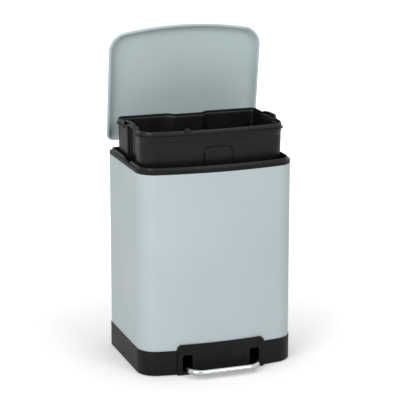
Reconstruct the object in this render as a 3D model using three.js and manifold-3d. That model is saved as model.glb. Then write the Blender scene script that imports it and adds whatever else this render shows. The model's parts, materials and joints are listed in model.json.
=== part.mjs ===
// A pedal recycling bin: a bowed steel wrap on a plastic base, a lid that a pedal opens through a
// lever, a lift rod and a crank, and a lift-out bucket with a divider.
// Millimetres. +X is to the right of someone facing the bin, +Y is to its back, +Z is up.
// It stands as photographed: pedal down, lid open, bucket lifted part of the way out.

import * as THREE from 'three';
import { mergeVertices } from 'three/addons/utils/BufferGeometryUtils.js';
import Module from 'manifold-3d';

const wasm = await Module();
wasm.setup();

// ---------------------------------------------------------------- sizes

const CLEARANCE = 0.3; // between pieces that touch
const RUNNING_GAP = 0.6; // between pieces that slide or turn on each other
const FINE_STEPS = 8; // facets on a large quarter bend
const COARSE_STEPS = 4; // facets on a small quarter bend
const ROUND_SIDES = 20; // facets around a bore or a boss

// Body
const BODY_WIDTH = 340;
const BODY_DEPTH = 250;
const BODY_TOP = 434;
const FRONT_BOW = 18.9;
const FRONT_CORNER = 42;
const BACK_CORNER = 12;
const SHEET = 0.8;

// Base
const BASE_HEIGHT = 55;
const BASE_PROUD = 1.5;
const BASE_WALL = 2.5;
const BASE_FLOOR = 2.5;
const BASE_EDGE = 1.2;
const WRAP_SOCKET = 8;
const FOOT_RADIUS = 11;
const FOOT_HEIGHT = 3;
const FOOT_PROUD = 1.5;
const FOOT_INSET = 32;

// Pedal housing on the front of the base
const TAB_WIDTH = 194;
const TAB_ABOVE_BASE = 12;
const TAB_CORNER = 10;
const TAB_PROUD = 1;
const TAB_BOW = 2;
const SLOT_WIDTH = 22.5;
const SLOT_GAP_BELOW = 1.7;
const SLOT_GAP_ABOVE = 2.7;
const SLOT_CORNER = 6;

// Pedal, its lever and axle
const PEDAL_SPAN = 150;
const PEDAL_TUBE = 14;
const PEDAL_TUBE_WALL = 1.5;
const PEDAL_BEND = 25;
const PEDAL_REACH = 121;
const PEDAL_PROUD = 35;
const PEDAL_SWING = 11.5;
const PEDAL_TUBE_END = 22;
const PIVOT_HEIGHT = 26;
const AXLE = 6;
const PILLAR_SPREAD = 68;
const PILLAR_THICKNESS = 6;
const PILLAR_DEPTH = 16;
const LEVER_PLATE = 3;
const LEVER_PLATE_EDGE = 9;
const LEVER_PLATE_FRONT = 60;
const LEVER_PLATE_BACK = 14;
const LEVER_EAR_SPREAD = 60;
const LEVER_WIDTH = 24;
const LEVER_SHEET = 2.5;
const LEVER_TOP = 6.5;
const LEVER_BELLY = 4.5;
const FORK_LENGTH = 10;
const PEDAL_RIVET = 5;
const PEDAL_RIVET_SETBACK = 40;

// Lift rod and its guides
const ROD = 4;
const ROD_X = 6;
const ROD_BEND = 5;
const ROD_TAIL = 11;
const GUIDE_WIDTH = 26;
const GUIDE_HEIGHT = 14;
const GUIDE_DEPTH = 10;
const GUIDE_ABOVE_BASE = 85;
const GUIDE_BELOW_TOP = 94;
const GUIDE_RIVET = 3;
const GUIDE_RIVET_EDGE = 4.5;

// Hinge
const HINGE_BEHIND = 13;
const HINGE_ABOVE = 14;
const LID_OPEN = 82;
const PIN = 5;
const PIN_HEAD = 2;
const CLIP_SHEET = 1;
const CRANK_DISTANCE = 18.5;
const CRANK_SHEET = 3;
const CRANK_RIM = 2.6;
const CRANK_PLAY = 3.2; // the crank's slot over the rod, so that the lid can follow at an even rate
const CRANK_ROOM_FRONT = 14.5;
const EAR_GAP = 4;
const EAR_THICKNESS = 4;
const EAR_RADIUS = 6.5;
const HOUSING_WIDTH = 92;
const HOUSING_DEPTH = 22;
const HOUSING_WALL = 2.5;
const HOUSING_DROP = 50;
const HOUSING_CORNER = 6;
const HOUSING_TOP_BELOW_AXIS = 8;
const FLANGE_EAR = 14;
const FLANGE_HEIGHT = 32;
const SCREW = 3.8;
const SCREW_DROPS = [22, 6];

// Lid
const LID_HEIGHT = 17.2;
const LID_OVERHANG = 0.5;
const LID_SHOULDER = 3.7;
const LID_ROUND = 19;
const HEM_WIDTH = 4.5;
const HEM_THICKNESS = 2;
const STRAP_WIDTH = 64;
const STRAP_SHEET = 2.5;
const STRAP_LENGTH = 42;
const STRAP_BEND_INSET = 19;
const STRAP_LOW_BEND_INSET = 5;
const STRAP_NOTCH_GAP = 2;
const CHEEK_INSET = 4;
const KNUCKLE_RADIUS = 5.5;
const STUD = 4;
const STUD_LENGTH = 7;
const STUD_SPREAD = 20;
const STUD_INSETS = [36, 24];
const NUT_WIDTH = 7;
const NUT_HEIGHT = 2.8;

// Collar
const BAND_HEIGHT = 8;
const LIP_HEIGHT = 13.5;
const LIP_INSET = 5.5;
const LIP_THICKNESS = 2;
const LEDGE_HEIGHT = 2;
const LEDGE_THICKNESS = 2.5;
const COLLAR_WALL = 2.5;
const SKIRT_DEPTH = 28;
const THROAT_DEPTH = 12;
const NOTCH_LEFT = 9;
const NOTCH_RIGHT = 12;
const NOTCH_BELOW_TOP = 12;
const DIP_SLOPE = [42, 10]; // from the grip's middle back to the lip's top and to the dip's bottom
const DIP_FRONT = [12, 20]; // from the grip's middle forward, the same way

// Bucket
const BUCKET_LIP_GAP = 0.8;
const BUCKET_FRONT_MARGIN = 30;
const BUCKET_BACK_MARGIN = 25;
const BUCKET_BOW = 15;
const BUCKET_FRONT_CORNER = 33;
const BUCKET_BACK_CORNER = 12;
const BUCKET_FLOOR_GAP = 26; // under the bucket when it is down
const BUCKET_WALL = 2.2;
const BUCKET_DRAFT = 1.2;
const BUCKET_FOOT = 5;
const BUCKET_LIFT = 69;
const BUCKET_THROAT_GAP = 1.5;
const RIM_BAND = 9;
const RIM_PROUD = 1.5;
const FLANGE_DROP = 12.5;
const FLANGE_SHEET = 2;
const FLANGE_REACH = 4.5;
const RECESS_DEPTH = 7.5;
const RECESS_FROM_CORNER = 19.3;
const RECESS_LENGTH = 58;
const RIM_GAP_FRONT = 5;
const RIM_GAP_BACK = 15;
const RUNNER_WIDTH = 3;
const RUNNER_FRONT_MARGIN = 14; // from the recess forward to the front runner's middle
const RUNNER_BACK_MARGIN = 35;
const RUNNER_LEAD = 2;
const GRIP_HEIGHT = 7.5;
const GRIP_END_HEIGHT = 3.5;
const GRIP_DEPTH = 3;
const GRIP_THICKNESS = 3.5;
const PANEL_HALF_WIDTH = 29;
const PANEL_DEPTH = 13;
const PANEL_SLANT = 14.8;
const NUB_X = -62.5;
const NUB_WIDTH = 12;
const NUB_HEIGHT = 3.8;
const ARCH_X = 4;
const ARCH_WIDTH = 61;
const ARCH_DROP = 39;
const ARCH_HEIGHT = 62;
const ARCH_CORNER = 12;
const ARCH_PROUD = 1.3;

// Divider
const DIVIDER = 3;
const DIVIDER_DROP = 38;
const DIVIDER_SIDE_GAP = 1;
const DIVIDER_GRIP_WIDTH = 80;
const DIVIDER_GRIP_DEPTH = 22;
const RIB_WIDTH = 2.5;
const RIB_DEPTH = 5;

// Mechanism cover
const COVER = 2.5;
const COVER_EDGE_GAP = 0.7;
const COVER_GAP = 2.1; // over the lever's highest point
const COVER_NOTCH_LEFT = 16;
const COVER_NOTCH_RIGHT = 22;
const COVER_NOTCH_DEPTH = 17;
const POST_RADIUS = 6;
const COVER_SCREW = 3.4;
const COVER_SCREW_LENGTH = 10;
const POST_SIDE_INSET = 30;
const POST_FRONT_INSET = 68;
const POST_BACK_INSET = 34;

// ---------------------------------------------------------------- places worked out from the sizes

const HALF_WIDTH = BODY_WIDTH / 2;
const HALF_DEPTH = BODY_DEPTH / 2;
const FLOOR_TOP = FOOT_PROUD + BASE_FLOOR;
const WRAP_BOTTOM = BASE_HEIGHT - WRAP_SOCKET + CLEARANCE;
const HINGE_Y = HALF_DEPTH + HINGE_BEHIND;
const HINGE_Z = BODY_TOP + HINGE_ABOVE;
const HALF_SWING = THREE.MathUtils.degToRad(PEDAL_SWING / 2);
const HALF_OPEN = THREE.MathUtils.degToRad(LID_OPEN / 2);
const ROD_Y = HINGE_Y - CRANK_DISTANCE;
const PIVOT_Y = -HALF_DEPTH - PEDAL_PROUD + PEDAL_REACH * Math.cos(HALF_SWING);
const LEVER_REACH = (ROD_Y - PIVOT_Y) / Math.cos(HALF_SWING);
const LEVER_PLATE_WIDTH = PEDAL_SPAN + 2 * LEVER_PLATE_EDGE;
const ROD_LOW = PIVOT_HEIGHT + LEVER_REACH * Math.sin(HALF_SWING);
const ROD_HIGH = HINGE_Z + CRANK_DISTANCE * Math.tan(HALF_OPEN);
const CRANK_SLOT = ROD + CRANK_PLAY;
const TAB_TOP = BASE_HEIGHT + TAB_ABOVE_BASE;
const TUBE_RISE = (PIVOT_Y + HALF_DEPTH + BASE_PROUD + TAB_PROUD) * Math.tan(HALF_SWING);
const TUBE_HALF = PEDAL_TUBE / 2 / Math.cos(HALF_SWING);
const SLOT_BOTTOM = PIVOT_HEIGHT - TUBE_RISE - TUBE_HALF - SLOT_GAP_BELOW;
const SLOT_TOP = PIVOT_HEIGHT + TUBE_RISE + TUBE_HALF + SLOT_GAP_ABOVE;
const GUIDE_HEIGHTS = [BASE_HEIGHT + GUIDE_ABOVE_BASE, BODY_TOP - GUIDE_BELOW_TOP];
const GUIDE_RIVET_SPREAD = GUIDE_WIDTH / 2 - GUIDE_RIVET_EDGE;
const LEVER_PEAK = (LEVER_REACH - FORK_LENGTH) * Math.sin(HALF_SWING) + LEVER_TOP * Math.cos(HALF_SWING);
const COVER_LEVEL = PIVOT_HEIGHT + LEVER_PEAK + COVER_GAP;
const LID_RIM = BODY_TOP + BAND_HEIGHT + CLEARANCE;
const LID_TOP = LID_RIM + LID_HEIGHT;
const LID_CEILING = LID_TOP - SHEET;
const LEDGE_TOP = BODY_TOP + LEDGE_HEIGHT;
const BUCKET_RIM = LEDGE_TOP + CLEARANCE + FLANGE_DROP + BUCKET_LIFT;
const BUCKET_BOTTOM = COVER_LEVEL + COVER + BUCKET_FLOOR_GAP + BUCKET_LIFT;
const BUCKET_SIDE_MARGIN = LIP_INSET + LIP_THICKNESS + BUCKET_LIP_GAP + FLANGE_REACH;
const STRAP_TOP = LID_CEILING - CLEARANCE;
const STRAP_LOW_TOP = HINGE_Z + PIN / 2 + 2 * CLEARANCE + STRAP_SHEET + CLEARANCE;
const STRAP_FRONT = HALF_DEPTH - STRAP_LENGTH;
const STRAP_BEND = HALF_DEPTH - STRAP_BEND_INSET;
const STRAP_LOW_BEND = HALF_DEPTH - STRAP_LOW_BEND_INSET;
const CHEEK_SPREAD = STRAP_WIDTH / 2 - CHEEK_INSET;
const EAR_SPREAD = STRAP_WIDTH / 2 + EAR_GAP + EAR_THICKNESS / 2;
const HOUSING_TOP = HINGE_Z - HOUSING_TOP_BELOW_AXIS;
const HOUSING_BOTTOM = BODY_TOP - HOUSING_DROP;
const FLANGE_WIDTH = HOUSING_WIDTH + 2 * FLANGE_EAR;
const SCREW_SPREAD = (HOUSING_WIDTH + FLANGE_EAR) / 2;

const BODY_PLAN = {
  halfWidth: HALF_WIDTH,
  front: -HALF_DEPTH,
  back: HALF_DEPTH,
  bow: FRONT_BOW,
  frontCorner: FRONT_CORNER,
  backCorner: BACK_CORNER,
};

const BUCKET_PLAN = {
  halfWidth: HALF_WIDTH - BUCKET_SIDE_MARGIN,
  front: -HALF_DEPTH + BUCKET_FRONT_MARGIN,
  back: HALF_DEPTH - BUCKET_BACK_MARGIN,
  bow: BUCKET_BOW,
  frontCorner: BUCKET_FRONT_CORNER,
  backCorner: BUCKET_BACK_CORNER,
};

// The circle that a plan's bowed front lies on, and the centre of its front corner's round.
function frontRounds(plan) {
  const bowRadius = (plan.halfWidth ** 2 + plan.bow ** 2) / (2 * plan.bow);
  const bowY = plan.front + bowRadius;
  const cornerX = plan.halfWidth - plan.frontCorner;
  const cornerY = bowY - Math.sqrt((bowRadius - plan.frontCorner) ** 2 - cornerX ** 2);
  return { bowRadius, bowY, cornerX, cornerY };
}

// The grip recess starts a little behind the bucket's front corner; the divider stands at its middle.
const RECESS_FRONT = frontRounds(BUCKET_PLAN).cornerY + RECESS_FROM_CORNER;
const RECESS_BACK = RECESS_FRONT + RECESS_LENGTH;
const RECESS_MIDDLE = (RECESS_FRONT + RECESS_BACK) / 2;
const DIVIDER_Y = RECESS_MIDDLE;

// ---------------------------------------------------------------- materials

function paint(colour, roughness, metalness) {
  return new THREE.MeshStandardMaterial({ color: colour, roughness, metalness });
}

const BODY_PAINT = paint('#bcc5ca', 0.55, 0);
const LID_PAINT = paint('#a3b2b4', 0.5, 0);
const BLACK_PLASTIC = paint('#1d1d1e', 0.6, 0);
const BUCKET_PLASTIC = paint('#232324', 0.5, 0);
const CHROME = paint('#d8d9da', 0.12, 1);
const ZINC_STEEL = paint('#a9abad', 0.4, 1);
const RUBBER = paint('#161616', 0.9, 0);

// ---------------------------------------------------------------- outlines

function arc(centreX, centreY, radius, start, end, steps) {
  const points = [];
  for (let i = 0; i <= steps; i += 1) {
    const angle = start + ((end - start) * i) / steps;
    points.push(new THREE.Vector2(centreX + radius * Math.cos(angle), centreY + radius * Math.sin(angle)));
  }
  return points;
}

function circle(centreX, centreY, radius, sides = ROUND_SIDES) {
  return arc(centreX, centreY, radius, 0, 2 * Math.PI, sides).slice(0, -1);
}

function polygon(pairs) {
  return pairs.map(([x, y]) => new THREE.Vector2(x, y));
}

// A slot with round ends between two points.
function roundSlot(from, to, radius) {
  const heading = Math.atan2(to.y - from.y, to.x - from.x);
  const quarter = Math.PI / 2;
  return [
    ...arc(to.x, to.y, radius, heading - quarter, heading + quarter, FINE_STEPS),
    ...arc(from.x, from.y, radius, heading + quarter, heading + 3 * quarter, FINE_STEPS),
  ];
}

// A flat-bottomed outline with two round top corners.
function archOutline(centre, width, bottom, top, corner) {
  const left = centre - width / 2;
  const right = centre + width / 2;
  return [
    new THREE.Vector2(left, bottom),
    new THREE.Vector2(right, bottom),
    ...arc(right - corner, top - corner, corner, 0, Math.PI / 2, COARSE_STEPS),
    ...arc(left + corner, top - corner, corner, Math.PI / 2, Math.PI, COARSE_STEPS),
  ];
}

// The three rounded stretches of a bin plan, moved inwards by inset (outwards if negative).
function planStretches(plan, inset) {
  const { bowRadius, bowY, cornerX, cornerY } = frontRounds(plan);
  const turn = Math.atan2(cornerY - bowY, -cornerX) + 2 * Math.PI;
  const frontRadius = plan.frontCorner - inset;
  const backRadius = Math.max(plan.backCorner - inset, SHEET);
  const backX = plan.halfWidth - inset - backRadius;
  const backY = plan.back - inset - backRadius;
  const bow = arc(0, bowY, bowRadius - inset, turn, 3 * Math.PI - turn, 12);
  return {
    backRight: arc(backX, backY, backRadius, 0, Math.PI / 2, COARSE_STEPS),
    backLeft: arc(-backX, backY, backRadius, Math.PI / 2, Math.PI, COARSE_STEPS),
    front: [
      ...arc(-cornerX, cornerY, frontRadius, Math.PI, turn, FINE_STEPS),
      ...bow.slice(1, -1),
      ...arc(cornerX, cornerY, frontRadius, 3 * Math.PI - turn, 2 * Math.PI, FINE_STEPS),
    ],
  };
}

function bodyOutline(inset) {
  const stretches = planStretches(BODY_PLAN, inset);
  return [...stretches.backRight, ...stretches.backLeft, ...stretches.front];
}

// The bucket's plan also steps in at both sides and at the middle of the back.
function bucketOutline(inset) {
  const stretches = planStretches(BUCKET_PLAN, inset);
  const side = BUCKET_PLAN.halfWidth - inset;
  const floor = side - RECESS_DEPTH;
  const front = RECESS_FRONT - inset;
  const back = RECESS_BACK + inset;
  const panel = PANEL_HALF_WIDTH + inset;
  const wall = BUCKET_PLAN.back - inset;
  return [
    ...stretches.backRight,
    ...polygon([[panel + PANEL_SLANT, wall], [panel, wall - PANEL_DEPTH]]),
    ...polygon([[-panel, wall - PANEL_DEPTH], [-panel - PANEL_SLANT, wall]]),
    ...stretches.backLeft,
    ...polygon([[-side, back], [-floor, back], [-floor, front], [-side, front]]),
    ...stretches.front,
    ...polygon([[side, front], [floor, front], [floor, back], [side, back]]),
  ];
}

// ---------------------------------------------------------------- solids

function volumeOf(positions, faces) {
  const [a, b, c] = [new THREE.Vector3(), new THREE.Vector3(), new THREE.Vector3()];
  let volume = 0;
  for (let i = 0; i < faces.length; i += 3) {
    a.fromArray(positions, 3 * faces[i]);
    b.fromArray(positions, 3 * faces[i + 1]);
    c.fromArray(positions, 3 * faces[i + 2]);
    volume += a.dot(b.cross(c)) / 6;
  }
  return volume;
}

// Turns a closed geometry into a solid that can be joined and cut.
function toSolid(geometry) {
  geometry.deleteAttribute('normal');
  geometry.deleteAttribute('uv');
  const merged = mergeVertices(geometry, 1e-4);
  const positions = new Float32Array(merged.attributes.position.array);
  const corners = merged.index.array;
  const faces = [];
  for (let i = 0; i < corners.length; i += 3) {
    const [a, b, c] = corners.slice(i, i + 3);
    if (a !== b && b !== c && c !== a) faces.push(a, b, c);
  }
  if (volumeOf(positions, faces) < 0) faces.reverse();
  const triangles = new Uint32Array(faces);
  return new wasm.Manifold(new wasm.Mesh({ numProp: 3, vertProperties: positions, triVerts: triangles }));
}

function toGeometry(solid) {
  const mesh = solid.getMesh();
  const geometry = new THREE.BufferGeometry();
  geometry.setAttribute('position', new THREE.BufferAttribute(mesh.vertProperties, 3));
  geometry.setIndex(new THREE.BufferAttribute(mesh.triVerts, 1));
  geometry.computeVertexNormals();
  return geometry;
}

function join(...solids) {
  return solids.reduce((whole, solid) => whole.add(solid));
}

function cut(solid, ...tools) {
  return tools.reduce((rest, tool) => rest.subtract(tool), solid);
}

// Triangles that close a flat ring of points, wound the way the ring runs.
function capFaces(ring, offset) {
  const normal = new THREE.Vector3();
  ring.forEach((point, i) => {
    normal.add(point.clone().cross(ring[(i + 1) % ring.length]));
  });
  normal.normalize();
  const across = ring[1].clone().sub(ring[0]).normalize();
  const along = normal.clone().cross(across);
  const flat = ring.map((point) => new THREE.Vector2(point.dot(across), point.dot(along)));
  return THREE.ShapeUtils.triangulateShape(flat, []).flatMap(([a, b, c]) => {
    const leftTurn = THREE.ShapeUtils.area([flat[a], flat[b], flat[c]]) > 0;
    return leftTurn ? [a + offset, b + offset, c + offset] : [a + offset, c + offset, b + offset];
  });
}

// Skins a run of rings that have the same number of points; a run that closes has no caps.
function loft(rings, closed = false) {
  const count = rings[0].length;
  const positions = rings.flat().flatMap((point) => point.toArray());
  const spans = closed ? rings.length : rings.length - 1;
  const faces = [];
  for (let r = 0; r < spans; r += 1) {
    const near = r * count;
    const far = ((r + 1) % rings.length) * count;
    for (let i = 0; i < count; i += 1) {
      const j = (i + 1) % count;
      faces.push(near + i, near + j, far + j, near + i, far + j, far + i);
    }
  }
  if (!closed) {
    faces.push(...capFaces(rings[0], 0).reverse());
    faces.push(...capFaces(rings[rings.length - 1], (rings.length - 1) * count));
  }
  const geometry = new THREE.BufferGeometry();
  geometry.setAttribute('position', new THREE.Float32BufferAttribute(positions, 3));
  geometry.setIndex(faces);
  return toSolid(geometry);
}

function level(outline, z) {
  return outline.map((point) => new THREE.Vector3(point.x, point.y, z));
}

// An upright solid from a plan outline.
function upright(outline, bottom, top) {
  return loft([level(outline, bottom), level(outline, top)]);
}

// A standing wall between two plan outlines.
function wall(outer, inner, bottom, top) {
  return loft([level(outer, bottom), level(outer, top), level(inner, top), level(inner, bottom)], true);
}

// A plate from a side view (y, z), running from left to right.
function sideways(outline, left, right) {
  return loft([left, right].map((x) => outline.map((point) => new THREE.Vector3(x, point.x, point.y))));
}

// A plate from a front view (x, z), running from front to back.
function backwards(outline, front, back) {
  return loft([front, back].map((y) => outline.map((point) => new THREE.Vector3(point.x, y, point.y))));
}

function block(left, right, front, back, bottom, top) {
  const geometry = new THREE.BoxGeometry(right - left, back - front, top - bottom);
  geometry.translate((left + right) / 2, (front + back) / 2, (bottom + top) / 2);
  return toSolid(geometry);
}

// A round bar or bore along X.
function crossBar(radius, left, right, y, z, sides = ROUND_SIDES) {
  return sideways(circle(y, z, radius, sides), left, right);
}

// A turned piece about Z from a profile of [radius, height] pairs that starts and ends on the axis.
function turned(profile, sides = ROUND_SIDES) {
  const geometry = new THREE.LatheGeometry(polygon(profile), sides);
  geometry.rotateX(Math.PI / 2);
  return toSolid(geometry);
}

// The rings of a round bar along a flat centre line; place() turns flat coordinates into space.
function barRings(line, radius, sides, place) {
  return line.map((point, i) => {
    const before = line[Math.max(i - 1, 0)];
    const after = line[Math.min(i + 1, line.length - 1)];
    const heading = after.clone().sub(before).normalize();
    return circle(0, 0, radius, sides).map((spot) => {
      const u = point.x - heading.y * spot.x;
      const v = point.y + heading.x * spot.x;
      return place(u, v, spot.y);
    });
  });
}

// ---------------------------------------------------------------- fasteners, each with its head up

function screw(shaftRadius, length) {
  const headRadius = 2.1 * shaftRadius;
  const headHeight = 1.3 * shaftRadius;
  const crown = 0.75 * headRadius;
  const point = 0.4 * shaftRadius;
  return turned([
    [0, headHeight],
    [crown, headHeight],
    [headRadius, 0.45 * headHeight],
    [headRadius, 0],
    [shaftRadius, 0],
    [shaftRadius, -length + shaftRadius],
    [point, -length],
    [0, -length],
  ], 16);
}

// A rivet with a domed head and a pressed tail; grip is what it clamps.
function rivet(shaftRadius, grip) {
  const headRadius = 1.9 * shaftRadius;
  const headHeight = 0.9 * shaftRadius;
  const tailRadius = 1.5 * shaftRadius;
  return turned([
    [0, headHeight],
    [0.6 * headRadius, 0.8 * headHeight],
    [headRadius, 0],
    [shaftRadius, 0],
    [shaftRadius, -grip],
    [tailRadius, -grip],
    [tailRadius, -grip - headHeight],
    [0, -grip - headHeight],
  ], 16);
}

// A retaining ring that sits around a shaft.
function clip(shaftRadius) {
  const hole = circle(0, 0, shaftRadius + CLEARANCE, 16);
  const rim = circle(0, 0, shaftRadius + CLEARANCE + 2 * CLIP_SHEET, 16);
  return wall(rim, hole, -CLIP_SHEET / 2, CLIP_SHEET / 2);
}

function hexNut(width, bore, height) {
  return cut(
    upright(circle(0, 0, width / Math.sqrt(3), 6), 0, height),
    upright(circle(0, 0, bore, 16), -CLEARANCE, height + CLEARANCE),
  );
}

// ---------------------------------------------------------------- body and collar

// The opening in the back of the wrap and the collar that the crank swings through.
function crankRoom(bottom, top) {
  return block(-NOTCH_LEFT, NOTCH_RIGHT, ROD_Y - CRANK_ROOM_FRONT, HINGE_Y, bottom, top);
}

function housingScrewPlaces() {
  return [-SCREW_SPREAD, SCREW_SPREAD].flatMap((x) => SCREW_DROPS.map((drop) => [x, BODY_TOP - drop]));
}

function housingScrewHoles(front, back) {
  const radius = SCREW / 2 + CLEARANCE;
  return housingScrewPlaces().map(([x, z]) => backwards(circle(x, z, radius, 16), front, back));
}

function guideRivetPlaces() {
  const xs = [ROD_X - GUIDE_RIVET_SPREAD, ROD_X + GUIDE_RIVET_SPREAD];
  return GUIDE_HEIGHTS.flatMap((z) => xs.map((x) => [x, z]));
}

function guideRivetHoles(front, back) {
  const radius = GUIDE_RIVET / 2 + CLEARANCE;
  return guideRivetPlaces().map(([x, z]) => backwards(circle(x, z, radius, 12), front, back));
}

function bodyShell() {
  const front = HALF_DEPTH - BASE_WALL - SHEET;
  return cut(
    wall(bodyOutline(0), bodyOutline(SHEET), WRAP_BOTTOM, BODY_TOP),
    crankRoom(BODY_TOP - NOTCH_BELOW_TOP, BODY_TOP + BAND_HEIGHT),
    ...housingScrewHoles(front, HINGE_Y),
    ...guideRivetHoles(front, HINGE_Y),
  );
}

function fingerDip(left, right) {
  const top = BODY_TOP + LIP_HEIGHT + CLEARANCE;
  const bottom = BODY_TOP + BAND_HEIGHT + CLEARANCE;
  return sideways(polygon([
    [RECESS_MIDDLE + DIP_SLOPE[0], top],
    [RECESS_MIDDLE + DIP_SLOPE[1], bottom],
    [RECESS_MIDDLE - DIP_FRONT[0], bottom],
    [RECESS_MIDDLE - DIP_FRONT[1], top],
  ]), left, right);
}

function topCollar() {
  const plugInset = SHEET + CLEARANCE;
  const skirtInner = plugInset + COLLAR_WALL;
  const lipInner = LIP_INSET + LIP_THICKNESS;
  const skirtBottom = BODY_TOP - SKIRT_DEPTH;
  const ledgeBottom = LEDGE_TOP - LEDGE_THICKNESS;
  const bandTop = BODY_TOP + BAND_HEIGHT;
  const lipTop = BODY_TOP + LIP_HEIGHT;
  const over = lipTop + CLEARANCE;
  const throat = bucketOutline(-BUCKET_THROAT_GAP);
  const edge = BASE_EDGE / 2;
  const band = loft([
    level(bodyOutline(0), BODY_TOP + CLEARANCE),
    level(bodyOutline(0), bandTop - edge),
    level(bodyOutline(edge), bandTop),
  ]);
  const lip = loft([
    level(bodyOutline(LIP_INSET), BODY_TOP + LEDGE_HEIGHT),
    level(bodyOutline(LIP_INSET), lipTop - edge),
    level(bodyOutline(LIP_INSET + edge), lipTop),
  ]);
  const plug = upright(bodyOutline(plugInset), skirtBottom, BODY_TOP + 2 * CLEARANCE);
  const pocket = upright(bodyOutline(lipInner), LEDGE_TOP, over);
  const underside = upright(bodyOutline(skirtInner), skirtBottom - CLEARANCE, ledgeBottom);
  const sleeveOutline = bucketOutline(-BUCKET_THROAT_GAP - COLLAR_WALL);
  const sleeve = upright(sleeveOutline, BODY_TOP - THROAT_DEPTH, LEDGE_TOP - CLEARANCE);
  const bossFront = HALF_DEPTH - plugInset - 4 * COLLAR_WALL;
  const bosses = [-1, 1].map((side) => {
    const [near, far] = [SCREW_SPREAD - 2 * SCREW, SCREW_SPREAD + 2 * SCREW].map((x) => side * x);
    const [left, right] = [Math.min(near, far), Math.max(near, far)];
    return block(left, right, bossFront, HALF_DEPTH - plugInset, skirtBottom, BODY_TOP);
  });
  const ring = join(cut(join(band, lip, plug), pocket, underside), sleeve, ...bosses);
  return cut(
    ring,
    upright(throat, skirtBottom - CLEARANCE, over),
    crankRoom(skirtBottom - CLEARANCE, over),
    fingerDip(-HALF_WIDTH + LIP_INSET - CLEARANCE, -HALF_WIDTH + lipInner + CLEARANCE),
    fingerDip(HALF_WIDTH - lipInner - CLEARANCE, HALF_WIDTH - LIP_INSET + CLEARANCE),
    ...housingScrewHoles(bossFront - CLEARANCE, HINGE_Y),
  );
}

// ---------------------------------------------------------------- base

function footPlaces() {
  const x = HALF_WIDTH - FOOT_INSET;
  const front = -HALF_DEPTH + FRONT_BOW + FOOT_INSET;
  const back = HALF_DEPTH - FOOT_INSET;
  return [[-x, front], [x, front], [-x, back], [x, back]];
}

function postPlaces() {
  const x = HALF_WIDTH - POST_SIDE_INSET;
  const front = -HALF_DEPTH + POST_FRONT_INSET;
  const back = HALF_DEPTH - POST_BACK_INSET;
  return [[-x, front], [x, front], [-x, back], [x, back]];
}

function pedalTab() {
  const half = TAB_WIDTH / 2;
  const centre = -HALF_DEPTH - BASE_PROUD - TAB_PROUD;
  const radius = (half ** 2 + TAB_BOW ** 2) / (2 * TAB_BOW);
  const turn = Math.asin(half / radius);
  const down = 1.5 * Math.PI;
  const face = arc(0, centre + radius, radius, down - turn, down + turn, 10);
  const back = -HALF_DEPTH + FRONT_BOW;
  const plan = [...face, new THREE.Vector2(half, back), new THREE.Vector2(-half, back)];
  const front = archOutline(0, TAB_WIDTH, FOOT_PROUD, TAB_TOP, TAB_CORNER);
  return upright(plan, FOOT_PROUD, TAB_TOP).intersect(backwards(front, centre - TAB_BOW, back));
}

function baseTray() {
  const socket = -CLEARANCE;
  const socketFloor = BASE_HEIGHT - WRAP_SOCKET;
  const shell = loft([
    level(bodyOutline(BASE_EDGE - BASE_PROUD), FOOT_PROUD),
    level(bodyOutline(-BASE_PROUD), FOOT_PROUD + BASE_EDGE),
    level(bodyOutline(-BASE_PROUD), BASE_HEIGHT - BASE_EDGE / 2),
    level(bodyOutline(-BASE_PROUD + BASE_EDGE / 2), BASE_HEIGHT),
    level(bodyOutline(socket), BASE_HEIGHT),
    level(bodyOutline(socket), socketFloor),
    level(bodyOutline(BASE_WALL), socketFloor),
    level(bodyOutline(BASE_WALL), FLOOR_TOP),
  ]);
  const tab = cut(
    pedalTab(),
    upright(bodyOutline(socket), socketFloor, TAB_TOP + CLEARANCE),
    upright(bodyOutline(BASE_WALL), FLOOR_TOP, TAB_TOP + CLEARANCE),
  );
  const pillars = [-PILLAR_SPREAD, PILLAR_SPREAD].map((x) => block(
    x - PILLAR_THICKNESS / 2,
    x + PILLAR_THICKNESS / 2,
    PIVOT_Y - PILLAR_DEPTH / 2,
    PIVOT_Y + PILLAR_DEPTH / 2,
    FLOOR_TOP - CLEARANCE,
    PIVOT_HEIGHT + PILLAR_DEPTH / 2,
  ));
  const posts = postPlaces().map(([x, y]) => cut(
    upright(circle(x, y, POST_RADIUS), FLOOR_TOP - CLEARANCE, COVER_LEVEL - CLEARANCE),
    upright(
      circle(x, y, COVER_SCREW / 2 + CLEARANCE, 16),
      COVER_LEVEL - COVER_SCREW_LENGTH,
      COVER_LEVEL,
    ),
  ));
  const slots = [-PEDAL_SPAN / 2, PEDAL_SPAN / 2].map((x) => backwards(
    archOutline(x, SLOT_WIDTH, SLOT_BOTTOM, SLOT_TOP, SLOT_CORNER),
    -HALF_DEPTH - PEDAL_PROUD,
    -HALF_DEPTH + FRONT_BOW + BASE_WALL,
  ));
  const footRecesses = footPlaces().map(([x, y]) => upright(
    circle(x, y, FOOT_RADIUS + CLEARANCE),
    -CLEARANCE,
    FOOT_HEIGHT + CLEARANCE,
  ));
  const axleBore = crossBar(
    AXLE / 2 + CLEARANCE,
    -PILLAR_SPREAD - PILLAR_THICKNESS,
    PILLAR_SPREAD + PILLAR_THICKNESS,
    PIVOT_Y,
    PIVOT_HEIGHT,
  );
  const forkPocket = block(
    -LEVER_WIDTH / 2 - PILLAR_THICKNESS,
    LEVER_WIDTH / 2 + 2 * PILLAR_THICKNESS,
    HALF_DEPTH - 2 * BASE_WALL,
    HALF_DEPTH - CLEARANCE,
    FLOOR_TOP,
    socketFloor + CLEARANCE,
  );
  return cut(join(shell, tab, ...pillars, ...posts), ...slots, ...footRecesses, axleBore, forkPocket);
}

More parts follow.
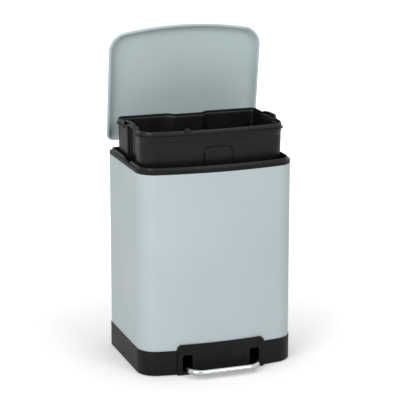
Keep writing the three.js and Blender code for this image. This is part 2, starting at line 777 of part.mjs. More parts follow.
function foot() {
  const edge = FOOT_RADIUS - FOOT_PROUD / 2;
  return turned([
    [0, 0],
    [edge, 0],
    [FOOT_RADIUS, FOOT_PROUD / 2],
    [FOOT_RADIUS, FOOT_HEIGHT],
    [0, FOOT_HEIGHT],
  ]);
}

function mechanismCover() {
  const screwHoles = postPlaces().map(([x, y]) => upright(
    circle(x, y, COVER_SCREW / 2 + CLEARANCE, 16),
    COVER_LEVEL - CLEARANCE,
    COVER_LEVEL + 2 * COVER,
  ));
  return cut(
    upright(bodyOutline(BASE_WALL + COVER_EDGE_GAP), COVER_LEVEL, COVER_LEVEL + COVER),
    block(
      -COVER_NOTCH_LEFT,
      COVER_NOTCH_RIGHT,
      HALF_DEPTH - COVER_NOTCH_DEPTH,
      HALF_DEPTH,
      COVER_LEVEL - CLEARANCE,
      COVER_LEVEL + 2 * COVER,
    ),
    ...screwHoles,
  );
}

// ---------------------------------------------------------------- pedal, drawn level about its axle

function pedalBar() {
  const half = PEDAL_SPAN / 2;
  const line = [
    new THREE.Vector2(-half, -PEDAL_TUBE_END),
    ...arc(-half + PEDAL_BEND, -PEDAL_REACH + PEDAL_BEND, PEDAL_BEND, Math.PI, 1.5 * Math.PI, FINE_STEPS),
    ...arc(half - PEDAL_BEND, -PEDAL_REACH + PEDAL_BEND, PEDAL_BEND, 1.5 * Math.PI, 2 * Math.PI, FINE_STEPS),
    new THREE.Vector2(half, -PEDAL_TUBE_END),
  ];
  const place = (u, v, w) => new THREE.Vector3(u, v, w);
  const outer = barRings(line, PEDAL_TUBE / 2, 16, place);
  const inner = barRings(line, PEDAL_TUBE / 2 - PEDAL_TUBE_WALL, 16, place);
  const tube = loft([...outer, ...inner.reverse()], true);
  const holes = [-half, half].map((x) => upright(
    circle(x, -PEDAL_RIVET_SETBACK, PEDAL_RIVET / 2 + CLEARANCE, 12),
    -PEDAL_TUBE,
    PEDAL_TUBE,
  ));
  return cut(tube, ...holes);
}

function leverTipReach() {
  return LEVER_REACH + ROD / 2 + CLEARANCE;
}

function pedalLever() {
  const plateTop = -PEDAL_TUBE / 2 - CLEARANCE;
  const plateBottom = plateTop - LEVER_PLATE;
  const plate = block(
    -LEVER_PLATE_WIDTH / 2,
    LEVER_PLATE_WIDTH / 2,
    -LEVER_PLATE_FRONT,
    -LEVER_PLATE_BACK,
    plateBottom,
    plateTop,
  );
  const profile = polygon([
    [-LEVER_PLATE_FRONT, plateBottom],
    [-AXLE, plateBottom],
    [2 * LEVER_PLATE_BACK, -LEVER_BELLY],
    [leverTipReach(), -LEVER_BELLY],
    [leverTipReach(), LEVER_BELLY],
    [LEVER_REACH - FORK_LENGTH, LEVER_TOP],
    [-LEVER_PLATE_FRONT, LEVER_TOP],
  ]);
  const half = LEVER_WIDTH / 2;
  const cheeks = [-half, half - LEVER_SHEET].map((x) => sideways(profile, x, x + LEVER_SHEET));
  const web = block(
    -half,
    half,
    -LEVER_PLATE_FRONT,
    LEVER_REACH - 2 * FORK_LENGTH,
    LEVER_TOP - LEVER_SHEET,
    LEVER_TOP,
  );
  const earProfile = polygon([
    [-LEVER_PLATE_BACK - AXLE, plateBottom],
    [-AXLE, plateBottom],
    [1.5 * AXLE, -AXLE],
    [1.5 * AXLE, LEVER_TOP],
    [-LEVER_PLATE_BACK - AXLE, LEVER_TOP],
  ]);
  const ears = [-LEVER_EAR_SPREAD, LEVER_EAR_SPREAD].map((x) => sideways(
    earProfile,
    x - LEVER_SHEET / 2,
    x + LEVER_SHEET / 2,
  ));
  const axleBore = crossBar(AXLE / 2 + CLEARANCE, -PILLAR_SPREAD, PILLAR_SPREAD, 0, 0);
  const forkGap = ROD / 2 + RUNNING_GAP;
  const fork = sideways(
    roundSlot(
      new THREE.Vector2(LEVER_REACH - RUNNING_GAP, 0),
      new THREE.Vector2(LEVER_REACH + FORK_LENGTH, 0),
      forkGap,
    ),
    -LEVER_WIDTH,
    LEVER_WIDTH,
  );
  const rivetHoles = [-PEDAL_SPAN / 2, PEDAL_SPAN / 2].map((x) => upright(
    circle(x, -PEDAL_RIVET_SETBACK, PEDAL_RIVET / 2 + CLEARANCE, 12),
    2 * plateBottom,
    0,
  ));
  return cut(join(plate, ...cheeks, web, ...ears), axleBore, fork, ...rivetHoles);
}

// ---------------------------------------------------------------- lift rod

function liftRod() {
  const reach = ROD_X + CRANK_SHEET / 2 + ROD_TAIL - ROD_BEND;
  const tail = LEVER_WIDTH / 2 + ROD_BEND;
  const quarter = Math.PI / 2;
  const line = [
    new THREE.Vector2(ROD_X - reach, ROD_HIGH),
    ...arc(ROD_X - ROD_BEND, ROD_HIGH - ROD_BEND, ROD_BEND, quarter, 0, COARSE_STEPS),
    ...arc(ROD_X + ROD_BEND, ROD_LOW + ROD_BEND, ROD_BEND, 2 * quarter, 3 * quarter, COARSE_STEPS),
    new THREE.Vector2(tail + ROD_BEND, ROD_LOW),
  ];
  return loft(barRings(line, ROD / 2, 10, (u, v, w) => new THREE.Vector3(u, ROD_Y + w, v)));
}

function rodGuide(height) {
  const back = HALF_DEPTH - SHEET - CLEARANCE;
  const half = GUIDE_HEIGHT / 2;
  const body = block(
    ROD_X - GUIDE_WIDTH / 2,
    ROD_X + GUIDE_WIDTH / 2,
    back - GUIDE_DEPTH,
    back,
    height - half,
    height + half,
  );
  const round = circle(ROD_X, ROD_Y, ROD / 2 + RUNNING_GAP, 12);
  const bore = upright(round, height - 2 * half, height + 2 * half);
  return cut(body, bore, ...guideRivetHoles(back - 2 * GUIDE_DEPTH, HALF_DEPTH));
}

// ---------------------------------------------------------------- hinge housing and pin

function hingeHousing() {
  const front = HALF_DEPTH + CLEARANCE;
  const back = front + HOUSING_DEPTH;
  const boxPlan = (inset) => {
    const half = HOUSING_WIDTH / 2 - inset;
    const corner = HOUSING_CORNER;
    return [
      new THREE.Vector2(-half, front),
      new THREE.Vector2(half, front),
      ...arc(half - corner, back - inset - corner, corner, 0, Math.PI / 2, COARSE_STEPS),
      ...arc(-half + corner, back - inset - corner, corner, Math.PI / 2, Math.PI, COARSE_STEPS),
    ];
  };
  const box = loft([
    level(boxPlan(HOUSING_CORNER), HOUSING_BOTTOM),
    level(boxPlan(0), HOUSING_BOTTOM + HOUSING_CORNER),
    level(boxPlan(0), HOUSING_TOP),
  ]);
  const hollow = block(
    -HOUSING_WIDTH / 2 + HOUSING_WALL,
    HOUSING_WIDTH / 2 - HOUSING_WALL,
    front - CLEARANCE,
    back - HOUSING_WALL,
    HOUSING_BOTTOM + HOUSING_CORNER,
    HOUSING_TOP + CLEARANCE,
  );
  const flangeTop = BODY_TOP + CLEARANCE;
  const flange = backwards(
    archOutline(0, FLANGE_WIDTH, flangeTop - FLANGE_HEIGHT, flangeTop, HOUSING_CORNER),
    front,
    front + HOUSING_WALL,
  );
  const shoulder = HINGE_Z - 2 * EAR_RADIUS;
  const earProfile = polygon([
    [front, HOUSING_BOTTOM + 2 * HOUSING_CORNER],
    [back - HOUSING_WALL / 2, HOUSING_BOTTOM + 2 * HOUSING_CORNER],
    [back - HOUSING_WALL / 2, HOUSING_TOP],
    [HINGE_Y + EAR_RADIUS, HINGE_Z],
    [HINGE_Y - EAR_RADIUS, HINGE_Z],
    [front + HOUSING_WALL, shoulder],
    [front, shoulder],
  ]);
  const ears = [-EAR_SPREAD, EAR_SPREAD].flatMap((x) => [
    sideways(earProfile, x - EAR_THICKNESS / 2, x + EAR_THICKNESS / 2),
    crossBar(EAR_RADIUS, x - EAR_THICKNESS / 2, x + EAR_THICKNESS / 2, HINGE_Y, HINGE_Z),
  ]);
  const pinBore = crossBar(PIN / 2 + CLEARANCE, -HOUSING_WIDTH, HOUSING_WIDTH, HINGE_Y, HINGE_Z);
  const shell = cut(join(box, flange), hollow);
  return cut(join(shell, ...ears), pinBore, ...housingScrewHoles(HALF_DEPTH - SHEET, HINGE_Y));
}

function hingePin() {
  const tail = EAR_SPREAD + EAR_THICKNESS / 2 + PIN;
  const head = EAR_SPREAD + EAR_THICKNESS / 2 + CLEARANCE;
  return join(
    crossBar(PIN / 2, -tail, head + PIN_HEAD / 2, 0, 0, 16),
    crossBar(0.8 * PIN, head, head + PIN_HEAD, 0, 0, 16),
  );
}

// ---------------------------------------------------------------- lid, drawn shut

function lidPanel() {
  const steps = 5;
  const spring = LID_RIM + LID_SHOULDER;
  const rise = LID_TOP - spring;
  const outside = (t) => {
    const inset = -LID_OVERHANG + LID_ROUND * (1 - Math.cos(t));
    return level(bodyOutline(inset), spring + rise * Math.sin(t));
  };
  const inside = (t) => {
    const inset = -LID_OVERHANG + LID_ROUND - (LID_ROUND - SHEET) * Math.cos(t);
    return level(bodyOutline(inset), spring + (rise - SHEET) * Math.sin(t));
  };
  const angles = Array.from({ length: steps + 1 }, (unused, i) => (i * Math.PI) / (2 * steps));
  const hemTop = LID_RIM + HEM_THICKNESS;
  const hemInner = HEM_WIDTH - LID_OVERHANG;
  const edge = HEM_THICKNESS / 4;
  const pan = loft([
    ...angles.map(inside).reverse(),
    level(bodyOutline(SHEET - LID_OVERHANG), hemTop),
    level(bodyOutline(hemInner), hemTop),
    level(bodyOutline(hemInner), LID_RIM + edge),
    level(bodyOutline(hemInner - edge), LID_RIM),
    level(bodyOutline(edge - LID_OVERHANG), LID_RIM),
    level(bodyOutline(-LID_OVERHANG), LID_RIM + edge),
    ...angles.map(outside),
  ]);
  const studs = studPlaces().map(([x, y]) => upright(
    circle(x, y, STUD / 2, 12),
    LID_CEILING - STUD_LENGTH,
    LID_CEILING + SHEET / 2,
  ));
  const half = STRAP_WIDTH / 2 + STRAP_NOTCH_GAP;
  const notch = block(
    -half,
    half,
    STRAP_LOW_BEND - STRAP_NOTCH_GAP,
    HINGE_Y,
    LID_RIM - CLEARANCE,
    STRAP_LOW_TOP + SHEET,
  );
  return join(cut(pan, notch), ...studs);
}

function studPlaces() {
  return [-STUD_SPREAD, STUD_SPREAD].flatMap((x) => STUD_INSETS.map((inset) => [x, HALF_DEPTH - inset]));
}

// The strap bolts under the lid, leaves through its rim and carries the knuckles and the crank.
function lidHingeBracket() {
  const end = HINGE_Y + EAR_RADIUS / 2;
  const strap = sideways(polygon([
    [STRAP_FRONT, STRAP_TOP],
    [STRAP_FRONT, STRAP_TOP - STRAP_SHEET],
    [STRAP_BEND - CLEARANCE, STRAP_TOP - STRAP_SHEET],
    [STRAP_LOW_BEND - CLEARANCE, STRAP_LOW_TOP - STRAP_SHEET],
    [end, STRAP_LOW_TOP - STRAP_SHEET],
    [end, STRAP_LOW_TOP],
    [STRAP_LOW_BEND, STRAP_LOW_TOP],
    [STRAP_BEND, STRAP_TOP],
  ]), -STRAP_WIDTH / 2, STRAP_WIDTH / 2);
  const underStrap = STRAP_LOW_TOP - STRAP_SHEET / 2;
  const knuckles = [-CHEEK_SPREAD, CHEEK_SPREAD].flatMap((x) => {
    const [left, right] = [x - STRAP_SHEET / 2, x + STRAP_SHEET / 2];
    return [
      crossBar(KNUCKLE_RADIUS, left, right, HINGE_Y, HINGE_Z),
      block(left, right, HINGE_Y - KNUCKLE_RADIUS, end, HINGE_Z, underStrap),
    ];
  });
  const half = CRANK_SLOT / 2 + CRANK_RIM;
  const near = CRANK_DISTANCE - RUNNING_GAP;
  const far = CRANK_DISTANCE / Math.cos(HALF_OPEN) + RUNNING_GAP;
  const along = (distance) => new THREE.Vector2(
    HINGE_Y - distance * Math.cos(HALF_OPEN),
    HINGE_Z - distance * Math.sin(HALF_OPEN),
  );
  const crankArm = sideways(roundSlot(along(0), along(far), half), -CRANK_SHEET / 2, CRANK_SHEET / 2);
  const crankRoot = block(-CRANK_SHEET / 2, CRANK_SHEET / 2, HINGE_Y - half, end, HINGE_Z, underStrap);
  const slot = sideways(roundSlot(along(near), along(far), CRANK_SLOT / 2), -CRANK_SHEET, CRANK_SHEET);
  const pinBore = crossBar(PIN / 2 + CLEARANCE, -STRAP_WIDTH, STRAP_WIDTH, HINGE_Y, HINGE_Z);
  const studHoles = studPlaces().map(([x, y]) => upright(
    circle(x, y, STUD / 2 + CLEARANCE, 12),
    STRAP_TOP - 2 * STRAP_SHEET,
    STRAP_TOP + STRAP_SHEET,
  ));
  return cut(join(strap, ...knuckles, crankArm, crankRoot), slot, pinBore, ...studHoles);
}

// ---------------------------------------------------------------- bucket and divider, drawn lifted

function draftInset(z) {
  return (BUCKET_RIM - z) * Math.tan(THREE.MathUtils.degToRad(BUCKET_DRAFT));
}

function bucketWallLevel(z, extra) {
  return level(bucketOutline(draftInset(z) + extra), z);
}

// Where each side's rim band and flange stop and the grip handle takes over.
function gripStretch() {
  return [RECESS_FRONT - RIM_GAP_FRONT, RECESS_BACK + RIM_GAP_BACK];
}

// A low arched handle bridges the recess on each side, so fingers hook under it.
function gripHandle(side) {
  const [front, back] = gripStretch();
  const half = (back - front) / 2;
  const rise = GRIP_HEIGHT - GRIP_END_HEIGHT;
  const radius = (half ** 2 + rise ** 2) / (2 * rise);
  const turn = Math.asin(half / radius);
  const crown = BUCKET_RIM + GRIP_HEIGHT - radius;
  const under = BUCKET_RIM - GRIP_DEPTH;
  const outline = [
    ...polygon([[front, under], [back, under]]),
    ...arc((front + back) / 2, crown, radius, Math.PI / 2 - turn, Math.PI / 2 + turn, COARSE_STEPS),
  ];
  const inner = side * (BUCKET_PLAN.halfWidth - GRIP_THICKNESS);
  const outer = side * (BUCKET_PLAN.halfWidth + RIM_PROUD);
  return sideways(outline, Math.min(inner, outer), Math.max(inner, outer));
}

function gripShelf(side) {
  const inner = side * (BUCKET_PLAN.halfWidth - RECESS_DEPTH - BUCKET_WALL);
  const outer = side * (BUCKET_PLAN.halfWidth - GRIP_THICKNESS / 2);
  return block(
    Math.min(inner, outer),
    Math.max(inner, outer),
    RECESS_FRONT - BUCKET_WALL / 2,
    RECESS_BACK + BUCKET_WALL / 2,
    BUCKET_RIM - GRIP_DEPTH,
    BUCKET_RIM,
  );
}

// A pair of upright ribs on each side wall holds the divider.
function dividerRibs(side) {
  const bottom = BUCKET_BOTTOM + BUCKET_WALL / 2;
  const top = BUCKET_RIM - DIVIDER_DROP;
  const offset = DIVIDER / 2 + RUNNING_GAP;
  return [DIVIDER_Y - offset - RIB_WIDTH, DIVIDER_Y + offset].map((front) => {
    const ring = (z) => {
      const outer = BUCKET_PLAN.halfWidth - RECESS_DEPTH - draftInset(z) - BUCKET_WALL / 2;
      const inner = outer - BUCKET_WALL / 2 - RIB_DEPTH;
      const back = front + RIB_WIDTH;
      const corners = [[outer, front], [outer, back], [inner, back], [inner, front]];
      return level(polygon(corners.map(([x, y]) => [side * x, y])), z);
    };
    return loft([ring(bottom), ring(top)]);
  });
}

// Two upright runners on each outer side guide the bucket through the collar's throat.
function runners(side) {
  const wallAt = (z) => BUCKET_PLAN.halfWidth - draftInset(z) - BUCKET_WALL / 2;
  const face = BUCKET_PLAN.halfWidth + BUCKET_THROAT_GAP - CLEARANCE;
  const middles = [RECESS_FRONT - RUNNER_FRONT_MARGIN, RECESS_BACK + RUNNER_BACK_MARGIN];
  return middles.map((middle) => {
    const [front, back] = [middle - RUNNER_WIDTH / 2, middle + RUNNER_WIDTH / 2];
    const ring = (z, outer) => {
      const corners = [[wallAt(z), front], [outer, front], [outer, back], [wallAt(z), back]];
      return level(polygon(corners.map(([x, y]) => [side * x, y])), z);
    };
    const bottom = BUCKET_BOTTOM + BUCKET_FOOT;
    return loft([
      ring(bottom, wallAt(bottom) + BUCKET_WALL),
      ring(bottom + BUCKET_FOOT, face),
      ring(LEDGE_TOP - RUNNER_LEAD, face),
      ring(LEDGE_TOP, face - RUNNER_LEAD),
    ]);
  });
}

// An arch-shaped pad stands proud of the front wall.
function bucketArch() {
  const top = BUCKET_RIM - ARCH_DROP;
  const bottom = top - ARCH_HEIGHT;
  const outline = archOutline(ARCH_X, ARCH_WIDTH, bottom, top, ARCH_CORNER);
  const { front } = BUCKET_PLAN;
  const prism = backwards(outline, front - 2 * ARCH_PROUD, front + 3 * BUCKET_WALL);
  const heights = [bottom - BUCKET_WALL, top + BUCKET_WALL];
  const outer = loft(heights.map((z) => bucketWallLevel(z, -ARCH_PROUD)));
  const inner = loft(heights.map((z) => bucketWallLevel(z, BUCKET_WALL / 2)));
  return cut(prism.intersect(outer), inner);
}

function bucket() {
  const footInset = BUCKET_FOOT * 0.7;
  const vessel = loft([
    bucketWallLevel(BUCKET_BOTTOM, BUCKET_FOOT),
    bucketWallLevel(BUCKET_BOTTOM + BUCKET_FOOT - footInset, BUCKET_FOOT - footInset),
    bucketWallLevel(BUCKET_BOTTOM + BUCKET_FOOT, 0),
    bucketWallLevel(BUCKET_RIM, 0),
    bucketWallLevel(BUCKET_RIM, BUCKET_WALL),
    bucketWallLevel(BUCKET_BOTTOM + BUCKET_FOOT, BUCKET_WALL),
    bucketWallLevel(BUCKET_BOTTOM + BUCKET_WALL, BUCKET_WALL + BUCKET_FOOT - footInset),
  ]);
  const bandBottom = BUCKET_RIM - RIM_BAND;
  const band = wall(bucketOutline(-RIM_PROUD), bucketOutline(BUCKET_WALL / 2), bandBottom, BUCKET_RIM);
  const flangeBottom = BUCKET_RIM - FLANGE_DROP;
  const flangeInner = bucketOutline(draftInset(flangeBottom) + BUCKET_WALL / 2);
  const flange = wall(bucketOutline(-FLANGE_REACH), flangeInner, flangeBottom, flangeBottom + FLANGE_SHEET);
  const gaps = [-1, 1].map((side) => {
    const recessFloor = side * (BUCKET_PLAN.halfWidth - RECESS_DEPTH - BUCKET_WALL / 2);
    const outside = side * (BUCKET_PLAN.halfWidth + 2 * FLANGE_REACH);
    const [left, right] = [Math.min(recessFloor, outside), Math.max(recessFloor, outside)];
    return block(left, right, ...gripStretch(), flangeBottom - CLEARANCE, BUCKET_RIM + CLEARANCE);
  });
  const nub = block(
    NUB_X - NUB_WIDTH / 2,
    NUB_X + NUB_WIDTH / 2,
    BUCKET_PLAN.front,
    BUCKET_PLAN.front + 2 * BUCKET_WALL,
    BUCKET_RIM - RIM_BAND / 2,
    BUCKET_RIM + NUB_HEIGHT,
  );
  const extras = [-1, 1].flatMap((side) => [
    gripHandle(side),
    gripShelf(side),
    ...dividerRibs(side),
    ...runners(side),
  ]);
  return join(vessel, cut(join(band, flange), ...gaps), nub, bucketArch(), ...extras);
}

function bucketDivider() {
  const bottom = BUCKET_BOTTOM + BUCKET_WALL + CLEARANCE;
  const top = BUCKET_RIM - DIVIDER_DROP;
  const halfAt = (z) => {
    const recessFloor = BUCKET_PLAN.halfWidth - RECESS_DEPTH - draftInset(z);
    return recessFloor - BUCKET_WALL - DIVIDER_SIDE_GAP;
  };
  const foot = bottom + BUCKET_FOOT;
  const outline = polygon([
    [-halfAt(foot) + BUCKET_FOOT, bottom],
    [halfAt(foot) - BUCKET_FOOT, bottom],
    [halfAt(foot), foot],
    [halfAt(top), top],
    [-halfAt(top), top],
    [-halfAt(foot), foot],
  ]);
  const gripHole = roundSlot(
    new THREE.Vector2(-DIVIDER_GRIP_WIDTH / 2, top - 2 * DIVIDER_GRIP_DEPTH),
    new THREE.Vector2(DIVIDER_GRIP_WIDTH / 2, top - 2 * DIVIDER_GRIP_DEPTH),
    DIVIDER_GRIP_DEPTH / 2,
  );
  const [front, back] = [DIVIDER_Y - DIVIDER / 2, DIVIDER_Y + DIVIDER / 2];
  return cut(backwards(outline, front, back), backwards(gripHole, front - DIVIDER, back + DIVIDER));
}

// ---------------------------------------------------------------- assembly

const bin = new THREE.Group();

function place(parent, name, solid, material, position = [0, 0, 0], rotation = [0, 0, 0]) {
  const mesh = new THREE.Mesh(toGeometry(solid), material);
  mesh.name = name;
  mesh.position.set(...position);
  mesh.rotation.set(...rotation);
  parent.add(mesh);
}

const HEAD_BACK = [-Math.PI / 2, 0, 0];
const HEAD_RIGHT = [0, Math.PI / 2, 0];

place(bin, 'base_tray', baseTray(), BLACK_PLASTIC);
place(bin, 'body_shell', bodyShell(), BODY_PAINT);
place(bin, 'top_collar', topCollar(), BLACK_PLASTIC);
place(bin, 'mechanism_cover', mechanismCover(), BLACK_PLASTIC);
footPlaces().forEach(([x, y], i) => {
  place(bin, `rubber_foot_${i + 1}`, foot(), RUBBER, [x, y, 0]);
});
postPlaces().forEach(([x, y], i) => {
  const seat = COVER_LEVEL + COVER + CLEARANCE;
  const coverScrew = screw(COVER_SCREW / 2, COVER_SCREW_LENGTH);
  place(bin, `cover_screw_${i + 1}`, coverScrew, ZINC_STEEL, [x, y, seat]);
});

place(bin, 'hinge_housing', hingeHousing(), BLACK_PLASTIC);
place(bin, 'hinge_pin', hingePin(), ZINC_STEEL, [0, HINGE_Y, HINGE_Z]);
const pinClipX = -EAR_SPREAD - EAR_THICKNESS / 2 - CLEARANCE - CLIP_SHEET;
place(bin, 'hinge_pin_clip', clip(PIN / 2), ZINC_STEEL, [pinClipX, HINGE_Y, HINGE_Z], HEAD_RIGHT);
housingScrewPlaces().forEach(([x, z], i) => {
  const seat = HALF_DEPTH + HOUSING_WALL + 2 * CLEARANCE;
  const length = HOUSING_WALL + SHEET + 3 * COLLAR_WALL;
  place(bin, `housing_screw_${i + 1}`, screw(SCREW / 2, length), ZINC_STEEL, [x, seat, z], HEAD_BACK);
});

GUIDE_HEIGHTS.forEach((height, i) => {
  place(bin, `rod_guide_${i + 1}`, rodGuide(height), BLACK_PLASTIC);
});
guideRivetPlaces().forEach(([x, z], i) => {
  const grip = SHEET + GUIDE_DEPTH + 3 * CLEARANCE;
  const seat = HALF_DEPTH + CLEARANCE;
  place(bin, `guide_rivet_${i + 1}`, rivet(GUIDE_RIVET / 2, grip), ZINC_STEEL, [x, seat, z], HEAD_BACK);
});

const axleHalf = PILLAR_SPREAD + PILLAR_THICKNESS;
const axle = crossBar(AXLE / 2, -axleHalf, axleHalf, 0, 0);
place(bin, 'pedal_axle', axle, ZINC_STEEL, [0, PIVOT_Y, PIVOT_HEIGHT]);
[-1, 1].forEach((side, i) => {
  const x = side * (PILLAR_SPREAD + PILLAR_THICKNESS / 2 + CLEARANCE + CLIP_SHEET / 2);
  place(bin, `axle_clip_${i + 1}`, clip(AXLE / 2), ZINC_STEEL, [x, PIVOT_Y, PIVOT_HEIGHT], HEAD_RIGHT);
});

const pedal = new THREE.Group();
pedal.position.set(0, PIVOT_Y, PIVOT_HEIGHT);
pedal.rotation.x = HALF_SWING;
bin.add(pedal);
place(pedal, 'pedal_bar', pedalBar(), CHROME);
place(pedal, 'pedal_lever', pedalLever(), ZINC_STEEL);
[-1, 1].forEach((side, i) => {
  const grip = PEDAL_TUBE + LEVER_PLATE + 3 * CLEARANCE;
  const seat = PEDAL_TUBE / 2 + CLEARANCE;
  const spot = [(side * PEDAL_SPAN) / 2, -PEDAL_RIVET_SETBACK, seat];
  place(pedal, `pedal_rivet_${i + 1}`, rivet(PEDAL_RIVET / 2, grip), ZINC_STEEL, spot);
});

place(bin, 'lift_rod', liftRod(), ZINC_STEEL);
const upperClipX = -CRANK_SHEET / 2 - RUNNING_GAP - CLIP_SHEET;
const lowerClipX = LEVER_WIDTH / 2 + RUNNING_GAP + CLIP_SHEET;
place(bin, 'rod_clip_upper', clip(ROD / 2), ZINC_STEEL, [upperClipX, ROD_Y, ROD_HIGH], HEAD_RIGHT);
place(bin, 'rod_clip_lower', clip(ROD / 2), ZINC_STEEL, [lowerClipX, ROD_Y, ROD_LOW], HEAD_RIGHT);

const lid = new THREE.Group();
lid.position.set(0, HINGE_Y, HINGE_Z);
lid.rotation.x = THREE.MathUtils.degToRad(-LID_OPEN);
bin.add(lid);
const shutLid = new THREE.Group();
shutLid.position.set(0, -HINGE_Y, -HINGE_Z);
lid.add(shutLid);
place(shutLid, 'lid_panel', lidPanel(), LID_PAINT);
place(shutLid, 'lid_hinge_bracket', lidHingeBracket(), ZINC_STEEL);
studPlaces().forEach(([x, y], i) => {
  const nut = hexNut(NUT_WIDTH, STUD / 2 + CLEARANCE, NUT_HEIGHT);
  const spot = [x, y, STRAP_TOP - STRAP_SHEET - CLEARANCE - NUT_HEIGHT];
  place(shutLid, `lid_nut_${i + 1}`, nut, ZINC_STEEL, spot);
});

place(bin, 'bucket', bucket(), BUCKET_PLASTIC);
place(bin, 'bucket_divider', bucketDivider(), BUCKET_PLASTIC);

export default bin;
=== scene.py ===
# The looks of a pedal recycling bin: smooth, softened shells for the main mouldings and pressings,
# fasteners and bent bars made by rule, real finishes, a pale floor and soft studio light.
# Sizes are in millimetres and turned to metres where a mesh is made.

import json
import math

import bpy
import bmesh
from mathutils import Matrix, Vector


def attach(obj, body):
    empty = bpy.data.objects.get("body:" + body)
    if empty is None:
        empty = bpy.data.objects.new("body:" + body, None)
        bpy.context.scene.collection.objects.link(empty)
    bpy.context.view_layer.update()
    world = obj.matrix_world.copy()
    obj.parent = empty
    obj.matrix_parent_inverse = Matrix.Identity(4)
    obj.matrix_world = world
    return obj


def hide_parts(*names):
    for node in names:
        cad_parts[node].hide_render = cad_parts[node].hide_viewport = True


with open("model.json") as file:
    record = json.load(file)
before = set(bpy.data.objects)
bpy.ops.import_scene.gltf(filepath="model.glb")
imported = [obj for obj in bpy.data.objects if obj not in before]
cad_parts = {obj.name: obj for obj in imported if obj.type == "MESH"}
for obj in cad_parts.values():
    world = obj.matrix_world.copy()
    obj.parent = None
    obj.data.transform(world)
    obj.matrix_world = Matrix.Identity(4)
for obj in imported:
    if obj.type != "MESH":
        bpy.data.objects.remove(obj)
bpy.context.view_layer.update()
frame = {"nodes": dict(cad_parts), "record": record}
MM = 0.001

# ---------------------------------------------------------------- sizes of the bin

# A plan has a half width, a front and a back, the bow of its front, two corner radii, and the
# stretch of its front on which the points lie closer together.
BODY = dict(half=170, front=-125, back=125, bow=18.9, front_corner=42, back_corner=12, fine=(0, 0))
BUCKET = dict(half=157.2, front=-95, back=100, bow=15, front_corner=33, back_corner=12, fine=(-33, 41))
BODY_TOP = 434
SHEET = 0.8
SEAM = 0.3  # between the wrap or a foot and the moulding round it

BASE_TOP = 55
BASE_PROUD = 1.5
BASE_CHAMFER = 1.2
BASE_WALL = 2.5
BASE_ROUND = 0.6
SOCKET_FLOOR = 47
FOOT_PROUD = 1.5
FOOT_RADIUS = 11
FOOT_HEIGHT = 3
FEET = [(x, y) for x in (-138, 138) for y in (-74.1, 93)]
FLOOR_TOP = 4

# The pedal housing stands out of the base as a low arch with a rounded front edge.
TAB_HALF = 97
TAB_TOP = 67
TAB_FRONT = -127.5
TAB_BOW = 2
TAB_CORNER = 10
TAB_EDGE = 0.6

# The pedal is drawn pressed, half its swing below level, and the lid open.
PEDAL_TILT = math.radians(5.75)
PEDAL_REACH = 121
TUBE = 14
AXLE = Vector((0, -160 + PEDAL_REACH * math.cos(PEDAL_TILT), 26))
SLOT_X = 75
SLOT_HALF = 11.25
SLOT_CORNER = 6
TUBE_AT_SLOT = (AXLE.y - TAB_FRONT) * math.tan(PEDAL_TILT) + TUBE / 2 / math.cos(PEDAL_TILT)
SLOT_BOTTOM, SLOT_TOP = AXLE.z - TUBE_AT_SLOT - 1.7, AXLE.z + TUBE_AT_SLOT + 2.7

HINGE = Vector((0, 138, 448))
LID_OPEN = math.radians(82)
LID_RIM = 442.3
LID_TOP = 459.5
LID_OVERHANG = 0.4
LID_ROUND = 19
LID_SHOULDER = 3.7
LID_ROWS = 13
HEM_WIDTH = 4.5
HEM = 2
HEM_ROUND = 0.8
# The room for the hinge's bracket, as (left, right, front, back, bottom, top).
LID_NOTCH = (-34, 34, 118, 138, LID_RIM - 1, LID_TOP - 4.8)
STUDS = [(x, y) for x in (-20, 20) for y in (89, 101)]
STUD_RADIUS = 2
STUD_FOOT = 451.7

ROD_X, ROD_Y = 6, 119.5
ROD_HIGH = HINGE.z + 18.5 * math.tan(LID_OPEN / 2)
ROD_LOW = AXLE.z + (ROD_Y - AXLE.y) * math.tan(PEDAL_TILT)

# The collar: a flush band, a raised lip that leans inwards, a ledge, and a skirt inside the wrap.
LEDGE = 436
LEDGE_REACH = 20
SIDE_FROM = 140  # from here outwards the lip runs along a side
LIP_INSET, LIP_INNER = 4.8, 7.5
LIP_WIDTH = 0.9
LIP_TOP = BODY_TOP + 13.5
BAND_TOP = BODY_TOP + 8
SKIRT = SHEET + SEAM
SKIRT_BOTTOM = BODY_TOP - 28
COLLAR_WALL = 2.5
COLLAR_ROUND = 0.8
DIP_FLOOR = BAND_TOP + 0.3
DIP = [(-24, LIP_TOP), (-16, DIP_FLOOR), (6, DIP_FLOOR), (38, LIP_TOP)]
THROAT_GAP = 1.5  # between the bucket and the sleeve that guides it
THROAT_BOTTOM = 422
HOUSING_X = 53
BOSS_HALF = 7.6
# The room for the lid's crank, as (left, right, front, back).
CRANK_ROOM = (-9, 12, 105, 138)

RIM = 517.8
COVER_LEVEL = AXLE.z + (ROD_Y - AXLE.y - 9.95) * math.tan(PEDAL_TILT) + 6.467 + 2.1
BUCKET_BOTTOM = COVER_LEVEL + 97.5
BUCKET_WALL = 2.2
BUCKET_FOOT = 5
BUCKET_FOOT_FLAT = 6
DRAFT = math.tan(math.radians(1.2))
FLANGE = RIM - 12.5
FLANGE_PROUD = 4.7
BAND_FOOT = RIM - 21.5
BAND_PROUD = 0.45
